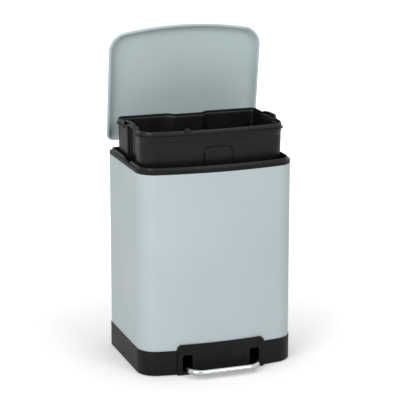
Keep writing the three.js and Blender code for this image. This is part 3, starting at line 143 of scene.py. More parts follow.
# The bucket's rim above its flange, as (inset, height over the rim): a neck, an outer face that
# leans inwards, the top edge, and the inner face down to the wall.
RIM_PROFILE = [
    (-0.1, -10.5), (-0.1, -9), (-1.5, -9), (0.5, 0), (1.9, 0),
    (1.7, -5), (BUCKET_WALL + 0.2, -7.5), (BUCKET_WALL + 0.4, -12),
]
RIM_ROUND = 0.6
RECESS = 7.5
RECESS_FRONT, RECESS_BACK = -33, 25
RECESS_ROUND = 2.5
RECESS_FROM = 144  # from here outwards the plan is a side wall's
FRONT_FROM = -80  # from here forwards it is the front wall's
GRIP_FRONT, GRIP_BACK = -38, 40
GRIP_MIDDLE = -4
GRIP_RISE = 7.5
GRIP_ROUND = 2.5
RIB_WIDTH, RIB_DEPTH, RIB_ROOM = 2.5, 5, 3.6
DIVIDER_TOP = RIM - 38
RUNNER_WIDTH = 3
RUNNER_PROUD = 1.2
RUNNER_PLACES = (RECESS_FRONT - 14, RECESS_BACK + 35)
NUB_X, NUB_HALF, NUB_HEIGHT, NUB_CORNER = -62.5, 6, 3.8, 4.2
PANEL_HALF, PANEL_DEPTH, PANEL_SLANT = 29, 13, 14.8
ARCH_X, ARCH_HALF, ARCH_CORNER = 4, 30.5, 12
ARCH_TOP, ARCH_BOTTOM = RIM - 39, RIM - 101
# The pad's edge, as (distance outwards from its outline, height over the wall), and the groove.
ARCH_EDGE = [(-0.8, 1.4), (0.5, -1.8), (3.2, -1.8), (4.0, 0)]

# ---------------------------------------------------------------- outlines in plan


def arc(x, y, radius, start, end, steps):
    turn = (end - start) / steps
    return [
        (x + radius * math.cos(start + i * turn), y + radius * math.sin(start + i * turn))
        for i in range(steps + 1)
    ]


def run(a, b, count):
    """Points on the straight stretch between a and b, without its ends."""
    return [
        (a[0] + (b[0] - a[0]) * i / (count + 1), a[1] + (b[1] - a[1]) * i / (count + 1))
        for i in range(1, count + 1)
    ]


def fillet(before, corner, after, radius, steps=5):
    """Rounds a corner of a plan or a section."""
    c = Vector(corner)
    a = (Vector(before) - c).normalized()
    b = (Vector(after) - c).normalized()
    half = a.angle(b) / 2
    shorter = min((Vector(before) - c).length, (Vector(after) - c).length)
    reach = min(radius / math.tan(half), 0.49 * shorter)
    radius = reach * math.tan(half)
    middle = c + (a + b).normalized() * radius / math.sin(half)
    start = c + a * reach - middle
    turn = start.angle_signed(c + b * reach - middle)
    points = []
    for i in range(steps + 1):
        angle = -turn * i / steps
        cos, sin = math.cos(angle), math.sin(angle)
        x = middle.x + start.x * cos - start.y * sin
        y = middle.y + start.x * sin + start.y * cos
        points.append((x, y))
    return points


def bow_stations(reach, fine):
    """Places across a bowed front: 3.5 mm apart, and 0.8 mm apart over its fine stretch."""
    stations, x = [], -reach
    while x < reach:
        stations.append(x)
        x += 0.8 if fine[0] <= x < fine[1] else 3.5
    return stations[1:]


def rounds(plan, inset):
    """The four corner arcs and the bowed front of a plan, moved inwards by inset."""
    bow_radius = (plan["half"] ** 2 + plan["bow"] ** 2) / (2 * plan["bow"])
    bow_y = plan["front"] + bow_radius
    x = plan["half"] - plan["front_corner"]
    y = bow_y - math.sqrt((bow_radius - plan["front_corner"]) ** 2 - x**2)
    turn = math.atan2(y - bow_y, -x) + 2 * math.pi
    front = plan["front_corner"] - inset
    back = max(plan["back_corner"] - inset, 0.8)
    back_x = plan["half"] - inset - back
    back_y = plan["back"] - inset - back
    reach = bow_radius * x / (bow_radius - plan["front_corner"])
    angles = [math.asin(station / bow_radius) for station in bow_stations(reach, plan["fine"])]
    radius = bow_radius - inset
    return dict(
        back_right=arc(back_x, back_y, back, 0, math.pi / 2, 8),
        back_left=arc(-back_x, back_y, back, math.pi / 2, math.pi, 8),
        left=arc(-x, y, front, math.pi, turn, 20),
        bow=[(radius * math.sin(angle), bow_y - radius * math.cos(angle)) for angle in angles],
        right=arc(x, y, front, 3 * math.pi - turn, 2 * math.pi, 20),
    )


def body_plan(inset):
    r = rounds(BODY, inset)
    return (
        r["back_right"]
        + run(r["back_right"][-1], r["back_left"][0], 30)
        + r["back_left"]
        + run(r["back_left"][-1], r["left"][0], 60)
        + r["left"]
        + r["bow"]
        + r["right"]
        + run(r["right"][-1], r["back_right"][0], 60)
    )


def bucket_side(side, inset, sign):
    """One side wall from its back end to its front end, with the grip recess stepped in."""
    x, floor = sign * side, sign * (side - RECESS)
    front, back = RECESS_FRONT - inset, RECESS_BACK + inset
    knots = [(x, back), (floor, back), (floor, front), (x, front)]
    ends = [(x, back + 20), *knots, (x, front - 9)]
    steps = [fillet(ends[i], ends[i + 1], ends[i + 2], RECESS_ROUND) for i in range(4)]
    middle = run(steps[1][-1], steps[2][0], 40)
    return steps[0] + steps[1] + middle + steps[2] + steps[3]


def bucket_plan(inset):
    r = rounds(BUCKET, inset)
    side = BUCKET["half"] - inset
    wall = BUCKET["back"] - inset
    panel = PANEL_HALF + inset
    knots = [(panel + PANEL_SLANT, wall), (panel, wall - PANEL_DEPTH)]
    knots += [(-x, y) for x, y in reversed(knots)]
    ends = [r["back_right"][-1], *knots, r["back_left"][0]]
    panel_steps = [fillet(ends[i], ends[i + 1], ends[i + 2], 1.6) for i in range(4)]
    left = bucket_side(side, inset, -1)
    right = bucket_side(side, inset, 1)[::-1]
    return (
        r["back_right"]
        + run(ends[0], panel_steps[0][0], 6)
        + sum(panel_steps[:2], [])
        + run(panel_steps[1][-1], panel_steps[2][0], 12)
        + sum(panel_steps[2:], [])
        + run(panel_steps[3][-1], ends[-1], 6)
        + r["back_left"]
        + run(r["back_left"][-1], left[0], 24)
        + left
        + run(left[-1], r["left"][0], 6)
        + r["left"]
        + r["bow"]
        + r["right"]
        + run(r["right"][-1], right[0], 6)
        + right
        + run(right[-1], r["back_right"][0], 24)
    )


# ---------------------------------------------------------------- meshes


def soften(section, radius, steps=3):
    """Rounds every inner corner of a section, a run of (inset, height)."""
    points = [section[0]]
    for before, corner, after in zip(section, section[1:], section[2:]):
        points += fillet(before, corner, after, radius, steps)
    return points + [section[-1]]


def loft(rings, closed=False):
    """Skins rings of (x, y, z) that have the same number of points; an open run is capped."""
    mesh = bmesh.new()
    rows = [[mesh.verts.new(Vector(point) * MM) for point in ring] for ring in rings]
    spans = list(zip(rows, rows[1:])) + ([(rows[-1], rows[0])] if closed else [])
    for near, far in spans:
        for i in range(len(near)):
            j = (i + 1) % len(near)
            mesh.faces.new((near[i], near[j], far[j], far[i]))
    if not closed:
        mesh.faces.new(rows[0][::-1])
        mesh.faces.new(rows[-1])
    bmesh.ops.recalc_face_normals(mesh, faces=mesh.faces)
    return mesh


def level(plan, z):
    return [(x, y, z) for x, y in plan]


def upright(plan, bottom, top):
    return loft([level(plan, bottom), level(plan, top)])


def box(left, right, front, back, bottom, top, edge=0.0):
    mesh = bmesh.new()
    middle = Vector((left + right, front + back, bottom + top)) / 2
    size = Vector((right - left, back - front, top - bottom))
    place = Matrix.Translation(middle * MM) @ Matrix.Diagonal((*(size * MM), 1))
    bmesh.ops.create_cube(mesh, size=1, matrix=place)
    if edge:
        bmesh.ops.bevel(mesh, geom=mesh.edges, offset=edge * MM, segments=2, affect="EDGES")
    return mesh


def rod_tool(x, y, radius, bottom, top, sides=48):
    return upright(arc(x, y, radius, 0, 2 * math.pi, sides)[:-1], bottom, top)


def piece(name, *meshes):
    """One object from one or more closed meshes."""
    data = bpy.data.meshes.new(name)
    whole = bmesh.new()
    for mesh in meshes:
        part = bpy.data.meshes.new("part")
        mesh.to_mesh(part)
        mesh.free()
        whole.from_mesh(part)
        bpy.data.meshes.remove(part)
    whole.to_mesh(data)
    whole.free()
    obj = bpy.data.objects.new(name, data)
    bpy.context.scene.collection.objects.link(obj)
    return obj


def settle(obj):
    """Replaces an object's mesh by the one that its modifiers give, and takes them off."""
    graph = bpy.context.evaluated_depsgraph_get()
    data = bpy.data.meshes.new_from_object(obj.evaluated_get(graph), depsgraph=graph)
    obj.modifiers.clear()
    old = obj.data
    obj.data = data
    data.name = obj.name
    if old.users == 0 and isinstance(old, bpy.types.Mesh):
        bpy.data.meshes.remove(old)
    return obj


def carve(obj, operation, *tools):
    """Cuts or joins closed tools into an object."""
    for mesh in tools:
        tool = piece("tool", mesh)
        change = obj.modifiers.new("carve", "BOOLEAN")
        change.operation = operation
        change.solver = "EXACT"
        change.object = tool
        settle(obj)
        bpy.data.objects.remove(tool)
    return obj


def smooth(obj, angle=35):
    obj.data.shade_smooth()
    obj.data.set_sharp_from_angle(angle=math.radians(angle))
    return obj


def bevel(obj, width):
    change = obj.modifiers.new("soft edges", "BEVEL")
    change.width = width * MM
    change.segments = 2
    change.limit_method = "ANGLE"
    change.angle_limit = math.radians(40)
    return settle(obj)


def dress(obj, material, body, slot, *nodes):
    obj.data.materials.clear()
    obj.data.materials.append(material)
    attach(obj, body)
    if nodes:
        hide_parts(*nodes)
    return obj


# ---------------------------------------------------------------- node trees


def add(tree, kind, inputs=None, **settings):
    """Adds a node with its settings and inputs: a value, a socket to link, or a list of sockets."""
    node = tree.nodes.new(kind)
    for name, value in settings.items():
        setattr(node, name, value)
    for name, value in (inputs or {}).items():
        if isinstance(value, (list, bpy.types.NodeSocket)):
            for socket in value if isinstance(value, list) else [value]:
                tree.links.new(socket, node.inputs[name])
        else:
            node.inputs[name].default_value = value
    return node


def colour(code):
    """A hex sRGB colour as the linear values that a shader takes."""
    channels = [int(code[i : i + 2], 16) / 255 for i in (1, 3, 5)]
    return *(c / 12.92 if c <= 0.04045 else ((c + 0.055) / 1.055) ** 2.4 for c in channels), 1.0


def finish(name, dark, light, roughness, bump_mm, bump_size, tint_size, stretch=(1, 1, 1), **sockets):
    """A material of two close colours that drift over it, a roughness range and a fine relief."""
    material = bpy.data.materials.new(name)
    material.use_nodes = True
    tree = material.node_tree
    tree.nodes.clear()
    place = add(tree, "ShaderNodeTexCoord").outputs["Object"]
    place = add(tree, "ShaderNodeMapping", {"Vector": place, "Scale": stretch}).outputs["Vector"]
    patterns = []
    for size in (tint_size, 3 * bump_size, bump_size):
        noise = {"Vector": place, "Scale": 1000 / size, "Detail": 3.0}
        patterns.append(add(tree, "ShaderNodeTexNoise", noise).outputs["Fac"])
    drift, haze, relief = patterns
    drift = {"Value": drift, "From Min": 0.3, "From Max": 0.7}
    drift = add(tree, "ShaderNodeMapRange", drift).outputs["Result"]
    tint = {"Factor": drift, 6: colour(dark), 7: colour(light)}
    tint = add(tree, "ShaderNodeMix", tint, data_type="RGBA").outputs[2]
    low, high = roughness
    haze = {"Value": haze, "From Min": 0.3, "From Max": 0.7, "To Min": low, "To Max": high}
    haze = add(tree, "ShaderNodeMapRange", haze).outputs["Result"]
    relief = {"Height": relief, "Distance": bump_mm * MM, "Strength": 1.0}
    relief = add(tree, "ShaderNodeBump", relief).outputs["Normal"]
    skin = {"Base Color": tint, "Roughness": haze, "Normal": relief, **sockets}
    skin = add(tree, "ShaderNodeBsdfPrincipled", skin).outputs["BSDF"]
    add(tree, "ShaderNodeOutputMaterial", {"Surface": skin})
    return material


# ---------------------------------------------------------------- finishes

# Sheet steel with a satin polyester powder coat: an even pale blue-grey skin whose faint orange-peel
# ripple, about 2 mm across, softens every reflection. It is drawn 4 mm wide so that it shows.
BODY_COAT = finish(
    "powder_coated_steel_body",
    "#bac7ca", "#c0cccf", (0.40, 0.50), 0.012, 4, 160,
    **{"IOR": 1.5, "Specular IOR Level": 0.35},
)

# The same coat on the pressed lid, a touch duller, with its colour painted a touch greener: a painted
# tint for the light that the open pan throws back on itself.
LID_COAT_PAINTED_TINT = finish(
    "powder_coated_steel_lid_painted_tint",
    "#bacacb", "#c0d0d1", (0.42, 0.52), 0.012, 4, 140,
    **{"IOR": 1.5, "Specular IOR Level": 0.35},
)

# Injection-moulded black polypropylene with a fine spark-eroded grain, about 0.5 mm, drawn 1.2 mm:
# it looks matt and slightly grey where light grazes it.
BLACK_MOULDING = finish(
    "moulded_polypropylene_black",
    "#0d0d0e", "#121212", (0.36, 0.48), 0.02, 1.2, 30,
    **{"IOR": 1.49, "Specular IOR Level": 0.21},
)

# The bucket's polypropylene comes from a smoother tool, so its rim and corners catch soft highlights;
# the tint runs in faint upright drag marks from the mould.
BUCKET_MOULDING = finish(
    "moulded_polypropylene_bucket",
    "#090909", "#0d0d0d", (0.32, 0.42), 0.012, 1.6, 24, (1, 1, 0.12),
    **{"IOR": 1.49, "Specular IOR Level": 0.31},
)

# Steel tube, polished and chrome plated: mirror bright, with a very slight haze from buffing.
CHROME_PLATE = finish(
    "chrome_plated_steel",
    "#bfc1c2", "#c9cac9", (0.05, 0.09), 0.001, 5, 25, (0.2, 1, 1),
    Metallic=1.0,
)

# Zinc-plated steel: a cool grey metal with a patchy, fine-brushed bloom.
ZINC_PLATE = finish(
    "zinc_plated_steel",
    "#9fa1a2", "#b9bab8", (0.30, 0.45), 0.006, 0.8, 9,
    Metallic=1.0,
)

# Moulded rubber: dull and dark, with a faint dusty grain.
RUBBER = finish(
    "moulded_rubber",
    "#141414", "#1b1b1a", (0.78, 0.92), 0.03, 0.9, 8,
    **{"IOR": 1.52, "Specular IOR Level": 0.2},
)

SLOT_FINISH = {
    "body_paint": BODY_COAT,
    "lid_paint": LID_COAT_PAINTED_TINT,
    "black_plastic": BLACK_MOULDING,
    "bucket_plastic": BUCKET_MOULDING,
    "chrome": CHROME_PLATE,
    "zinc_steel": ZINC_PLATE,
    "rubber": RUBBER,
}
SLOT_OF = {part["node"]: part["material_slot"] for part in frame["record"]["subparts"]}
for name, node in frame["nodes"].items():
    node.data.materials.clear()
    node.data.materials.append(SLOT_FINISH[SLOT_OF[name]])

# ---------------------------------------------------------------- body wrap


def make_wrap():
    foot = SOCKET_FLOOR + SEAM
    section = [(0, foot), (0, BODY_TOP), (SHEET, BODY_TOP), (SHEET, foot)]
    wrap = piece("body_wrap", loft([level(body_plan(inset), z) for inset, z in section], closed=True))
    left, right, front, back = CRANK_ROOM
    carve(wrap, "DIFFERENCE", box(left, right, front, back, BODY_TOP - 12, BODY_TOP + 8))
    smooth(wrap)
    return dress(wrap, BODY_COAT, "bin", "body_paint", "body_shell")


# ---------------------------------------------------------------- base with its pedal housing


def tab_front(x):
    radius = (TAB_HALF**2 + TAB_BOW**2) / (2 * TAB_BOW)
    return TAB_FRONT + radius - math.sqrt(radius**2 - x**2)


def arch(centre, half, bottom, top, corner):
    """A front view (x, z) with two round top corners, with steps along its long edges."""
    right = arc(centre + half - corner, top - corner, corner, 0, math.pi / 2, 8)
    left = arc(centre - half + corner, top - corner, corner, math.pi / 2, math.pi, 8)
    lower = run((centre - half, bottom), (centre + half, bottom), 24)
    upper = run(right[-1], left[0], 24)
    return [(centre - half, bottom), *lower, (centre + half, bottom), *right, *upper, *left]


def make_base():
    outer = [(-SEAM, FOOT_PROUD), (-BASE_PROUD, FOOT_PROUD + BASE_CHAMFER), (-BASE_PROUD, BASE_TOP)]
    socket = [(-SEAM, BASE_TOP), (-SEAM, SOCKET_FLOOR), (BASE_WALL, SOCKET_FLOOR)]
    section = soften([*outer, *socket, (BASE_WALL, FLOOR_TOP)], BASE_ROUND)
    base = piece("base_moulding", loft([level(body_plan(inset), z) for inset, z in section]))
    rings = []
    # Each ring of the rounded edge is (shrunk by, corner less by, width scale, set back by).
    edge = [(TAB_EDGE, TAB_EDGE, 1, 0), (0.3 * TAB_EDGE, 0, 0.999, 0.3 * TAB_EDGE), (0, 0, 1, TAB_EDGE)]
    for shrink, tighter, scale, behind in edge:
        outline = arch(0, TAB_HALF - shrink, FOOT_PROUD, TAB_TOP - shrink, TAB_CORNER - tighter)
        rings.append([(x * scale, tab_front(x) + behind, z) for x, z in outline])
    rings.append([(x, BODY["front"] + BODY["bow"], z) for x, z in outline])
    tab = piece("tab", loft(rings))
    carve(
        tab,
        "DIFFERENCE",
        upright(body_plan(-SEAM), SOCKET_FLOOR, TAB_TOP + 2),
        upright(body_plan(2), FLOOR_TOP - 1, TAB_TOP + 2),
    )
    tab_mesh = bmesh.new()
    tab_mesh.from_mesh(tab.data)
    bpy.data.objects.remove(tab)
    carve(base, "UNION", tab_mesh)
    slots = []
    for x in (-SLOT_X, SLOT_X):
        view = arch(x, SLOT_HALF, SLOT_BOTTOM, SLOT_TOP, SLOT_CORNER)
        slots.append(loft([[(u, y, z) for u, z in view] for y in (-160, -104)]))
    recesses = [rod_tool(x, y, FOOT_RADIUS + SEAM, -1, FOOT_HEIGHT + SEAM) for x, y in FEET]
    carve(base, "DIFFERENCE", *slots, *recesses)
    smooth(base, 30)
    return dress(base, BLACK_MOULDING, "bin", "black_plastic", "base_tray")


# ---------------------------------------------------------------- collar


def dip_height(y):
    """The lip's top along a side: it drops into a finger dip beside the grip."""
    for (y0, z0), (y1, z1) in zip(DIP, DIP[1:]):
        if y0 <= y <= y1:
            t = (y - y0) / (y1 - y0)
            return z0 + (z1 - z0) * t * t * (3 - 2 * t)
    return LIP_TOP


def make_collar():
    lip = [(LIP_INNER, LEDGE), (LIP_INNER, LIP_TOP)]
    lip += [(LIP_INNER - LIP_WIDTH, LIP_TOP), (LIP_INSET, BAND_TOP)]
    band = [(0, BAND_TOP), (0, BODY_TOP + SEAM), (SKIRT, BODY_TOP + SEAM)]
    inner, under = SKIRT + COLLAR_WALL, LEDGE - COLLAR_WALL
    skirt = [(SKIRT, SKIRT_BOTTOM), (inner, SKIRT_BOTTOM), (inner, under)]
    section = soften([(LEDGE_REACH, LEDGE), *lip, *band, *skirt, (LEDGE_REACH, under)], COLLAR_ROUND)
    rings = []
    for inset, z in section:
        ring = []
        for x, y in body_plan(inset):
            drop = 0
            if z > BAND_TOP and abs(x) > SIDE_FROM and inset < LEDGE_REACH / 2:
                drop = (LIP_TOP - dip_height(y)) * (z - BAND_TOP) / (LIP_TOP - BAND_TOP)
            ring.append((x, y, z - drop))
        rings.append(ring)
    collar = piece("collar_moulding", loft(rings))
    carve(collar, "DIFFERENCE", upright(bucket_plan(-THROAT_GAP), BODY_TOP - 40, LIP_TOP + 10))
    near, far, top = -THROAT_GAP, -THROAT_GAP - COLLAR_WALL, LEDGE - 0.4
    start = (far, THROAT_BOTTOM + 6)
    sleeve = [start, (far, top), (near, top), (near, THROAT_BOTTOM), (far, THROAT_BOTTOM), start]
    rings = [level(bucket_plan(inset), z) for inset, z in soften(sleeve, 0.5)[:-1]]
    bosses = [
        box(x - BOSS_HALF, x + BOSS_HALF, 113.9, 123.9, SKIRT_BOTTOM, 433.8, 0.4)
        for x in (-HOUSING_X, HOUSING_X)
    ]
    collar = join_meshes(collar, loft(rings, closed=True), *bosses)
    left, right, front, back = CRANK_ROOM
    carve(collar, "DIFFERENCE", box(left, right, front, back, 400, LIP_TOP + 1))
    smooth(collar)
    return dress(collar, BLACK_MOULDING, "bin", "black_plastic", "top_collar")


def join_meshes(obj, *meshes):
    whole = bmesh.new()
    whole.from_mesh(obj.data)
    name = obj.name
    bpy.data.objects.remove(obj)
    return piece(name, whole, *meshes)


# ---------------------------------------------------------------- lid


def make_lid():
    spring = LID_RIM + LID_SHOULDER
    rise = LID_TOP - spring
    middle = LID_ROUND - LID_OVERHANG
    turns = [i * math.pi / 2 / (LID_ROWS - 1) for i in range(LID_ROWS)]
    inside, outside = [
        [(middle - across * math.cos(t), spring + up * math.sin(t)) for t in turns]
        for across, up in ((LID_ROUND - SHEET, rise - SHEET), (LID_ROUND, rise))
    ]
    inner_edge = HEM_WIDTH - LID_OVERHANG
    hem = soften([
        (SHEET - LID_OVERHANG, spring),
        (SHEET - LID_OVERHANG, LID_RIM + HEM),
        (inner_edge, LID_RIM + HEM),
        (inner_edge, LID_RIM),
        (-LID_OVERHANG, LID_RIM),
        (-LID_OVERHANG, spring),
    ], HEM_ROUND, 5)[1:-1]
    flat = LID_ROUND + 3
    section = [(flat, LID_TOP - SHEET), *inside[::-1], *hem, *outside, (flat, LID_TOP)]
    lid = piece("lid_pressing", loft([level(body_plan(inset), z) for inset, z in section]))
    carve(lid, "DIFFERENCE", box(*LID_NOTCH))
    studs = [rod_tool(x, y, STUD_RADIUS, STUD_FOOT, LID_TOP - SHEET / 2, 24) for x, y in STUDS]
    lid = join_meshes(lid, *studs)
    there = Matrix.Translation(HINGE * MM)
    lid.data.transform(there @ Matrix.Rotation(-LID_OPEN, 4, "X") @ there.inverted())
    smooth(lid, 40)
    return dress(lid, LID_COAT_PAINTED_TINT, "lid", "lid_paint", "lid_panel")


# ---------------------------------------------------------------- bucket


def inset_at(z):
    return (RIM - z) * DRAFT


def ramp(value, low, high, edge):
    """1 between low and high, falling to 0 over edge on each side."""
    reach = min(value - low, high - value) / edge + 0.5
    t = min(max(reach, 0), 1)
    return t * t * (3 - 2 * t)


def arch_relief(x, z):
    """How far the front wall stands out at (x, z): a raised arch-shaped pad with a groove round it."""
    across = abs(x - ARCH_X) - ARCH_HALF + ARCH_CORNER
    up = z - ARCH_TOP + ARCH_CORNER
    edge = math.hypot(max(across, 0), max(up, 0)) + min(max(across, up), 0) - ARCH_CORNER
    edge = max(edge, ARCH_BOTTOM - z)
    if edge <= ARCH_EDGE[0][0]:
        return ARCH_EDGE[0][1]
    for (e0, h0), (e1, h1) in zip(ARCH_EDGE, ARCH_EDGE[1:]):
        if edge <= e1:
            return h0 + (h1 - h0) * (edge - e0) / (e1 - e0)
    return 0


def foot_curve(inset, z):
    """The round between a wall at inset and a floor at z, from the wall down."""
    turns = [i * math.pi / 12 for i in range(7)]
    middle, top = inset + BUCKET_FOOT, z + BUCKET_FOOT
    return [(middle - BUCKET_FOOT * math.cos(t), top - BUCKET_FOOT * math.sin(t)) for t in turns]


def make_bucket():
    low, inner = BUCKET_BOTTOM, BUCKET_BOTTOM + BUCKET_WALL
    foot = foot_curve(inset_at(low), low)[::-1]
    floor = foot_curve(inset_at(low) + BUCKET_WALL, inner)
    # The rows of faces lie 1 mm apart where the arch's pad ends and 0.8 mm apart round its top.
    heights = [low + 30, low + 120, low + 220, 405, *range(414, 420), 425, 435, 445, 455]
    heights += [463 + 0.8 * i for i in range(27)]
    wall = [(inset_at(z), z) for z in [*heights, 489, BAND_FOOT - 0.3]]
    band, edge = inset_at(FLANGE) - BAND_PROUD, inset_at(FLANGE) - FLANGE_PROUD
    upper = [(inset_at(BAND_FOOT) - BAND_PROUD, BAND_FOOT + 0.3), (band, FLANGE - 0.6)]
    flange = [upper[-1], (band, FLANGE), (edge, FLANGE), (edge, FLANGE + 2)]
    rim = soften([*flange, *[(inset, RIM + z) for inset, z in RIM_PROFILE]], RIM_ROUND)[1:]
    inside = [(inset_at(z) + BUCKET_WALL, z) for z in (RIM - 60, low + 120, low + 12)]
    section = [(inset_at(low) + BUCKET_FOOT_FLAT, low), *foot, *wall, *upper, *rim, *inside, *floor]
    section.append((inset_at(low) + BUCKET_WALL + BUCKET_FOOT_FLAT, inner))
    outer = range(len(foot) + 1, len(foot) + len(wall) + 1)
    rings = []
    for number, (inset, z) in enumerate(section):
        plain = bucket_plan(max(inset, inset_at(z)))
        ring = []
        for (gx, gy), (px, py) in zip(bucket_plan(inset), plain):
            gap = ramp(py, GRIP_FRONT, GRIP_BACK, 2) if abs(px) > RECESS_FROM else 0
            x, y = gx + (px - gx) * gap, gy + (py - gy) * gap
            if number in outer and y < FRONT_FROM:
                y -= arch_relief(x, z)
            ring.append((x, y, z))
        rings.append(ring)
    extras = [nub()]
    for sign in (-1, 1):
        extras += [handle(sign), shelf(sign)]
        for y in (GRIP_MIDDLE - RIB_ROOM / 2 - RIB_WIDTH, GRIP_MIDDLE + RIB_ROOM / 2):
            extras.append(divider_rib(sign, y, y + RIB_WIDTH))
        for y in RUNNER_PLACES:
            extras.append(runner(sign, y - RUNNER_WIDTH / 2, y + RUNNER_WIDTH / 2))
    bucket = piece("bucket_moulding", loft(rings), *extras)
    smooth(bucket, 40)
    return dress(bucket, BUCKET_MOULDING, "bucket", "bucket_plastic", "bucket")


def nub():
    """A small round-topped nub on the front rim."""
    outline = arch(NUB_X, NUB_HALF, RIM - 4.5, RIM + NUB_HEIGHT, NUB_CORNER)
    front = BUCKET["front"]
    return loft([[(x, y, z) for x, z in outline] for y in (front, front + 2 * BUCKET_WALL)])


def soft_prism(sign, inner, outer, outline, edge):
    """A prism across a side wall from an outline in (y, z), with its long edges rounded."""
    mesh = loft([[(sign * x, y, z) for y, z in outline] for x in (inner, outer)])
    sharp = [e for e in mesh.edges if e.calc_face_angle(0) > math.radians(30)]
    bmesh.ops.bevel(mesh, geom=sharp, offset=edge * MM, segments=3, affect="EDGES", profile=0.5)
    return mesh


def handle(sign):
    """The low handle that bridges a grip recess: its top climbs towards the front and ends steeply."""
    low, top = RIM - 3, RIM + GRIP_RISE
    corners = [(GRIP_BACK, top - 4.5), (12, top - 0.6), (-10, top), (GRIP_FRONT + 13, top)]
    corners += [(GRIP_FRONT + 9, RIM), (GRIP_FRONT, RIM - 0.3)]
    outline = [(GRIP_FRONT, low), (GRIP_BACK, low), (GRIP_BACK, top - 5)]
    outline += soften([(GRIP_BACK, low), *corners, (GRIP_FRONT, low)], GRIP_ROUND)[1:-1]
    return soft_prism(sign, BUCKET["half"] - 3.5, BUCKET["half"] + 1.5, outline, 0.9)


def shelf(sign):
    """Closes the recess under the handle."""
    middle = BUCKET_WALL / 2
    front, back = RECESS_FRONT - middle, RECESS_BACK + middle
    outline = [(front, RIM - 3), (back, RIM - 3), (back, RIM), (front, RIM)]
    return soft_prism(sign, BUCKET["half"] - RECESS - middle, BUCKET["half"] - 1.7, outline, 0.5)


def upright_bar(sign, front, back, stations):
    """A bar on a side wall from stations of (height, outer x, inner x)."""
    rings = []
    for z, outer, inner in stations:
        corners = [(outer, front), (outer, back), (inner, back), (inner, front)]
        rings.append([(sign * x, y, z) for x, y in corners])
    return loft(rings)


def divider_rib(sign, front, back):
    middle = BUCKET_WALL / 2
    stations = []
    for z, trim in ((BUCKET_BOTTOM + middle, 0), (DIVIDER_TOP - 1, 0), (DIVIDER_TOP, 1)):
        outer = BUCKET["half"] - RECESS - inset_at(z) - middle
        stations.append((z, outer, outer - middle - RIB_DEPTH + trim))
    return upright_bar(sign, front, back, stations)


def runner(sign, front, back):
    low = BUCKET_BOTTOM + BUCKET_FOOT
    wall = BUCKET["half"] - BUCKET_WALL / 2
    face = BUCKET["half"] + RUNNER_PROUD
    return upright_bar(sign, front, back, [
        (low, wall - inset_at(low) + BUCKET_WALL, wall - inset_at(low)),
        (low + 5, face, wall - inset_at(low + 5)),
        (LEDGE - 2, face, wall - inset_at(LEDGE - 2)),
        (LEDGE, face - 2, wall - inset_at(LEDGE)),
    ])


# ---------------------------------------------------------------- softened copies of plain CAD pieces


def soft_copy(node, name, width, body, slot):
    """A merged copy of a CAD node with its flat faces made whole and its edges softened."""
    mesh = bmesh.new()
    mesh.from_mesh(frame["nodes"][node].data)
    bmesh.ops.remove_doubles(mesh, verts=mesh.verts, dist=0.00001)
    bmesh.ops.dissolve_limit(mesh, angle_limit=math.radians(1), verts=mesh.verts, edges=mesh.edges)
    copy = piece(name, mesh)
    bevel(copy, width)
    smooth(copy, 32)
    return dress(copy, SLOT_FINISH[slot], body, slot, node)


# ---------------------------------------------------------------- pieces made by rule


def rule_tree(name, **sizes):
    """An empty geometry tree with named inputs in millimetres, and its input node."""
    tree = bpy.data.node_groups.new(name, "GeometryNodeTree")
    sockets = {"Geometry": "NodeSocketGeometry", **dict.fromkeys(sizes, "NodeSocketFloat")}
    sockets["Material"] = "NodeSocketMaterial"
    for label, kind in sockets.items():
        socket = tree.interface.new_socket(label, in_out="INPUT", socket_type=kind)
        if label in sizes:
            socket.default_value = sizes[label] * MM
    tree.interface.new_socket("Geometry", in_out="OUTPUT", socket_type="NodeSocketGeometry")
    source = add(tree, "NodeGroupInput")
    return tree, source.outputs


def close_tree(tree, size, shape, spread=True):
    """Sets the shape on every host point along its axis, makes it real and paints it."""
    if spread:
        axis = add(tree, "GeometryNodeInputNamedAttribute", {"Name": "axis"}, data_type="FLOAT_VECTOR")
        facing = {"Vector": axis.outputs["Attribute"]}
        facing = add(tree, "FunctionNodeAlignRotationToVector", facing, axis="Z").outputs[0]
        points = add(tree, "GeometryNodeMeshToPoints", {"Mesh": size["Geometry"]}).outputs[0]
        spots = {"Points": points, "Instance": shape, "Rotation": facing}
        shape = add(tree, "GeometryNodeInstanceOnPoints", spots).outputs[0]
    real = add(tree, "GeometryNodeRealizeInstances", {"Geometry": shape}).outputs[0]
    painted = add(tree, "GeometryNodeSetMaterial", {"Geometry": real, "Material": size["Material"]})
    add(tree, "NodeGroupOutput", {"Geometry": painted.outputs[0]})
    return tree


def domed_head(tree, size, *cuts):
    """A flat-bottomed dome of the Head radius and the Rise height, with cuts taken from it."""
    ball = {"Segments": 32, "Rings": 16, "Radius": 1.0}
    ball = add(tree, "GeometryNodeMeshUVSphere", ball).outputs[0]
    flat = add(tree, "ShaderNodeCombineXYZ", {"X": size["Head"], "Y": size["Head"], "Z": size["Rise"]})
    dome = add(tree, "GeometryNodeTransform", {"Geometry": ball, "Scale": flat.outputs[0]}).outputs[0]
    under = add(tree, "GeometryNodeMeshCube", {"Size": (0.04, 0.04, 0.04)}).outputs[0]
    under = {"Geometry": under, "Translation": (0, 0, -0.02)}
    under = add(tree, "GeometryNodeTransform", under).outputs[0]
    cut = {"Mesh 1": dome, "Mesh 2": [under, *cuts]}
    return add(tree, "GeometryNodeMeshBoolean", cut, operation="DIFFERENCE", solver="EXACT").outputs[0]


def shank(tree, radius, length, middle):
    """A cylinder of one radius and length, moved down to its middle."""
    bar = {"Vertices": 24, "Radius": radius, "Depth": length}
    bar = add(tree, "GeometryNodeMeshCylinder", bar).outputs[0]
    place = add(tree, "ShaderNodeCombineXYZ", {"Z": middle}).outputs[0]
    return add(tree, "GeometryNodeTransform", {"Geometry": bar, "Translation": place}).outputs[0]


